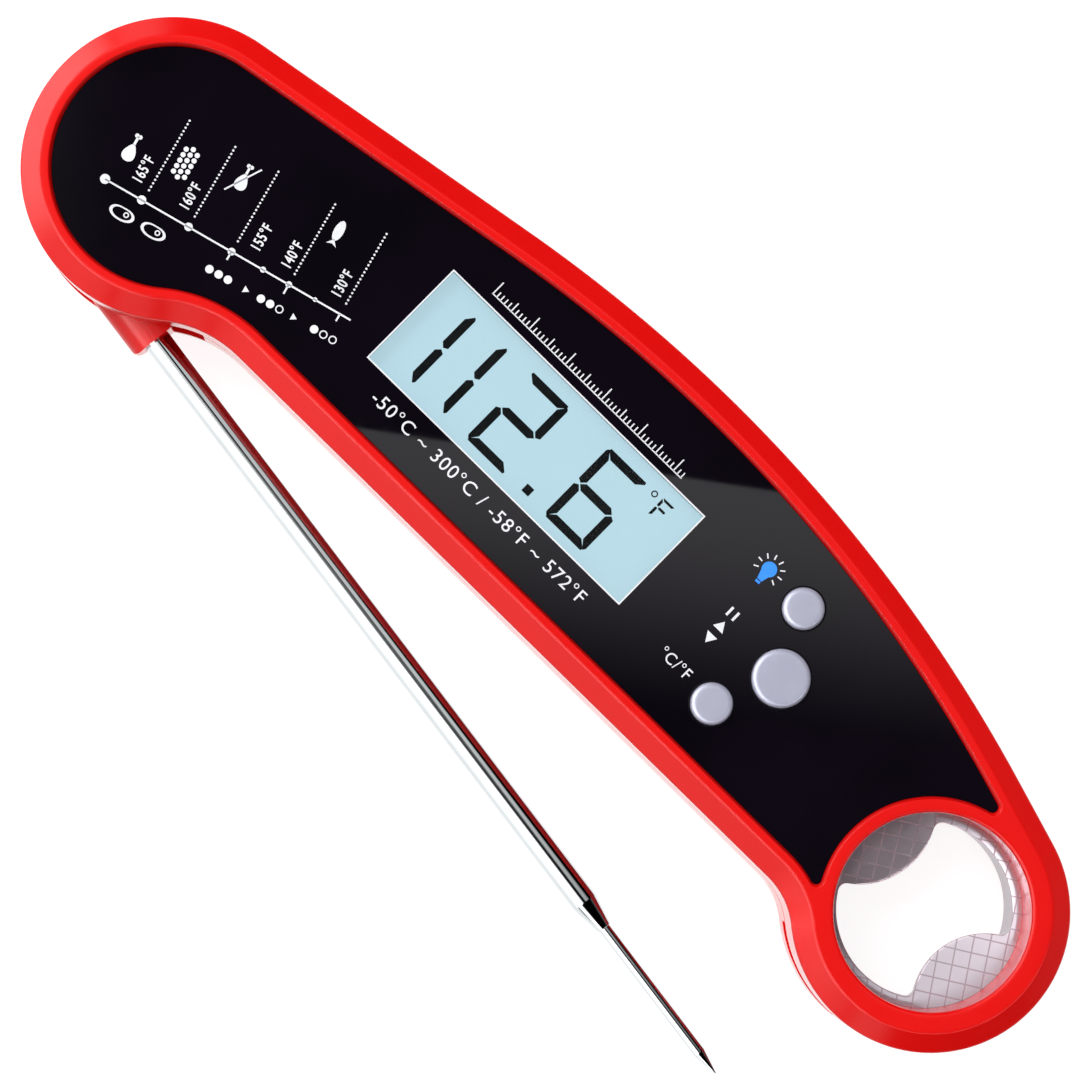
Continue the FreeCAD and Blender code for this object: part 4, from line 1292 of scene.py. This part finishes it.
def side_light(graph, where, side, height):
    """What mirrors see: white on the left, a lamp in front, a faint band half-way up, black on the right."""
    broad = graph.step(side, 0.07, 0.25, 0.0, 2.0)
    # high up, the white side gives way to an even, dimmer patch, which the opener's lower tab mirrors
    high = graph.product(graph.step(height, 0.72, 0.78), graph.step(height, 0.975, 0.965))
    toward_head = graph.step(graph.dot(where, (-1, 0, 0)), -0.22, -0.08)
    total = graph.mix(high, broad, toward_head)
    hot = graph.step(graph.dot(where, LEFT_LIGHT), 0.66, 0.92, 0.0, 4.6)
    near = graph.step(graph.dot(where, FRONT_LIGHT), 0.88, 0.96, 0.0, 4.5)
    away = graph.step(graph.dot(where, (0, 1, 0)), 0.45, 0.25)
    band = graph.product(graph.step(height, 0.40, 0.46), graph.step(height, 0.66, 0.60, 0.0, 3.4), away)
    low_right = graph.step(side, -0.75, -1.0, 0.0, 0.25)
    for part in (hot, near, band, low_right):
        total = graph.math("ADD", total, part)
    seam = graph.product(graph.step(side, 0.42, 0.44), graph.step(side, 0.50, 0.48, 0.0, 0.75))
    return graph.product(total, graph.math("SUBTRACT", 1.0, seam))


def edge_light(graph, where, height):
    """A lamp panel overhead: its sharp edge crosses the display face, and it fades away beyond it."""
    span = CAMERA_H - PANEL_TOP
    start, end = [(spot - CAMERA_FOOT.to_2d()) / span for spot in GLARE_EDGE]
    along = (end - start).normalized()
    across = Vector((along.y, -along.x))
    flat = graph.math("DIVIDE", graph.dot(where, (*across, 0)), graph.math("MAXIMUM", height, 0.05))
    beyond = graph.math("SUBTRACT", flat, start.dot(across))
    edge = graph.step(beyond, 0.0, 0.0012)
    fade = graph.step(beyond, 0.0, 0.066, 0.95, 0.0)
    near = graph.step(height, math.cos(math.radians(15)), math.cos(math.radians(12)))
    return graph.product(edge, fade, near)


def add_world():
    """A white studio: soft overhead light for diffuse surfaces, and side light for what mirrors see."""
    world = bpy.data.worlds.new("studio")
    bpy.context.scene.world = world
    world.use_nodes = True
    graph = Graph(world.node_tree)
    background = world.node_tree.nodes["Background"]
    where = graph.nodes.new("ShaderNodeTexCoord").outputs["Generated"]
    left = (-PICTURE_RIGHT * 0.99 + PICTURE_UP * 0.05).normalized()
    side = graph.dot(where, left)
    height = graph.dot(where, (0, 0, 1))
    mirrored = graph.math("ADD", side_light(graph, where, side, height), edge_light(graph, where, height))
    from_above = graph.step(height, 0.0, 1.0, 0.06, 0.88)
    from_left = graph.step(side, -1.0, 1.0, -0.06, 0.14)
    ray = graph.nodes.new("ShaderNodeLightPath").outputs
    lit = graph.mix(ray["Is Glossy Ray"], graph.math("ADD", from_above, from_left), mirrored)
    graph.links.new(graph.mix(ray["Is Camera Ray"], lit, 0.94), background.inputs["Strength"])
    background.inputs["Color"].default_value = WHITE


def add_lights():
    """One large soft lamp from the left, which gives soft shadows but isn't mirrored."""
    data = bpy.data.lights.new("key", "AREA")
    data.shape = "DISK"
    data.size = 0.6
    data.energy = 7.6
    lamp = add_object("key", data)
    aim = MIDDLE * MM
    lamp.location = aim + Vector((-0.72, 0.06, 0.95))
    lamp.rotation_euler = (lamp.location - aim).to_track_quat("Z", "Y").to_euler()
    lamp.visible_glossy = False


dress_cad_nodes()
front_case()
rear_case()
face_panel()
display()
buttons()
opener()
probe_arm()
probe_rod()
case_print()
battery_cover()
screws()
add_camera()
add_floor()
add_world()
add_lights()
bpy.context.scene.view_settings.view_transform = "Standard"
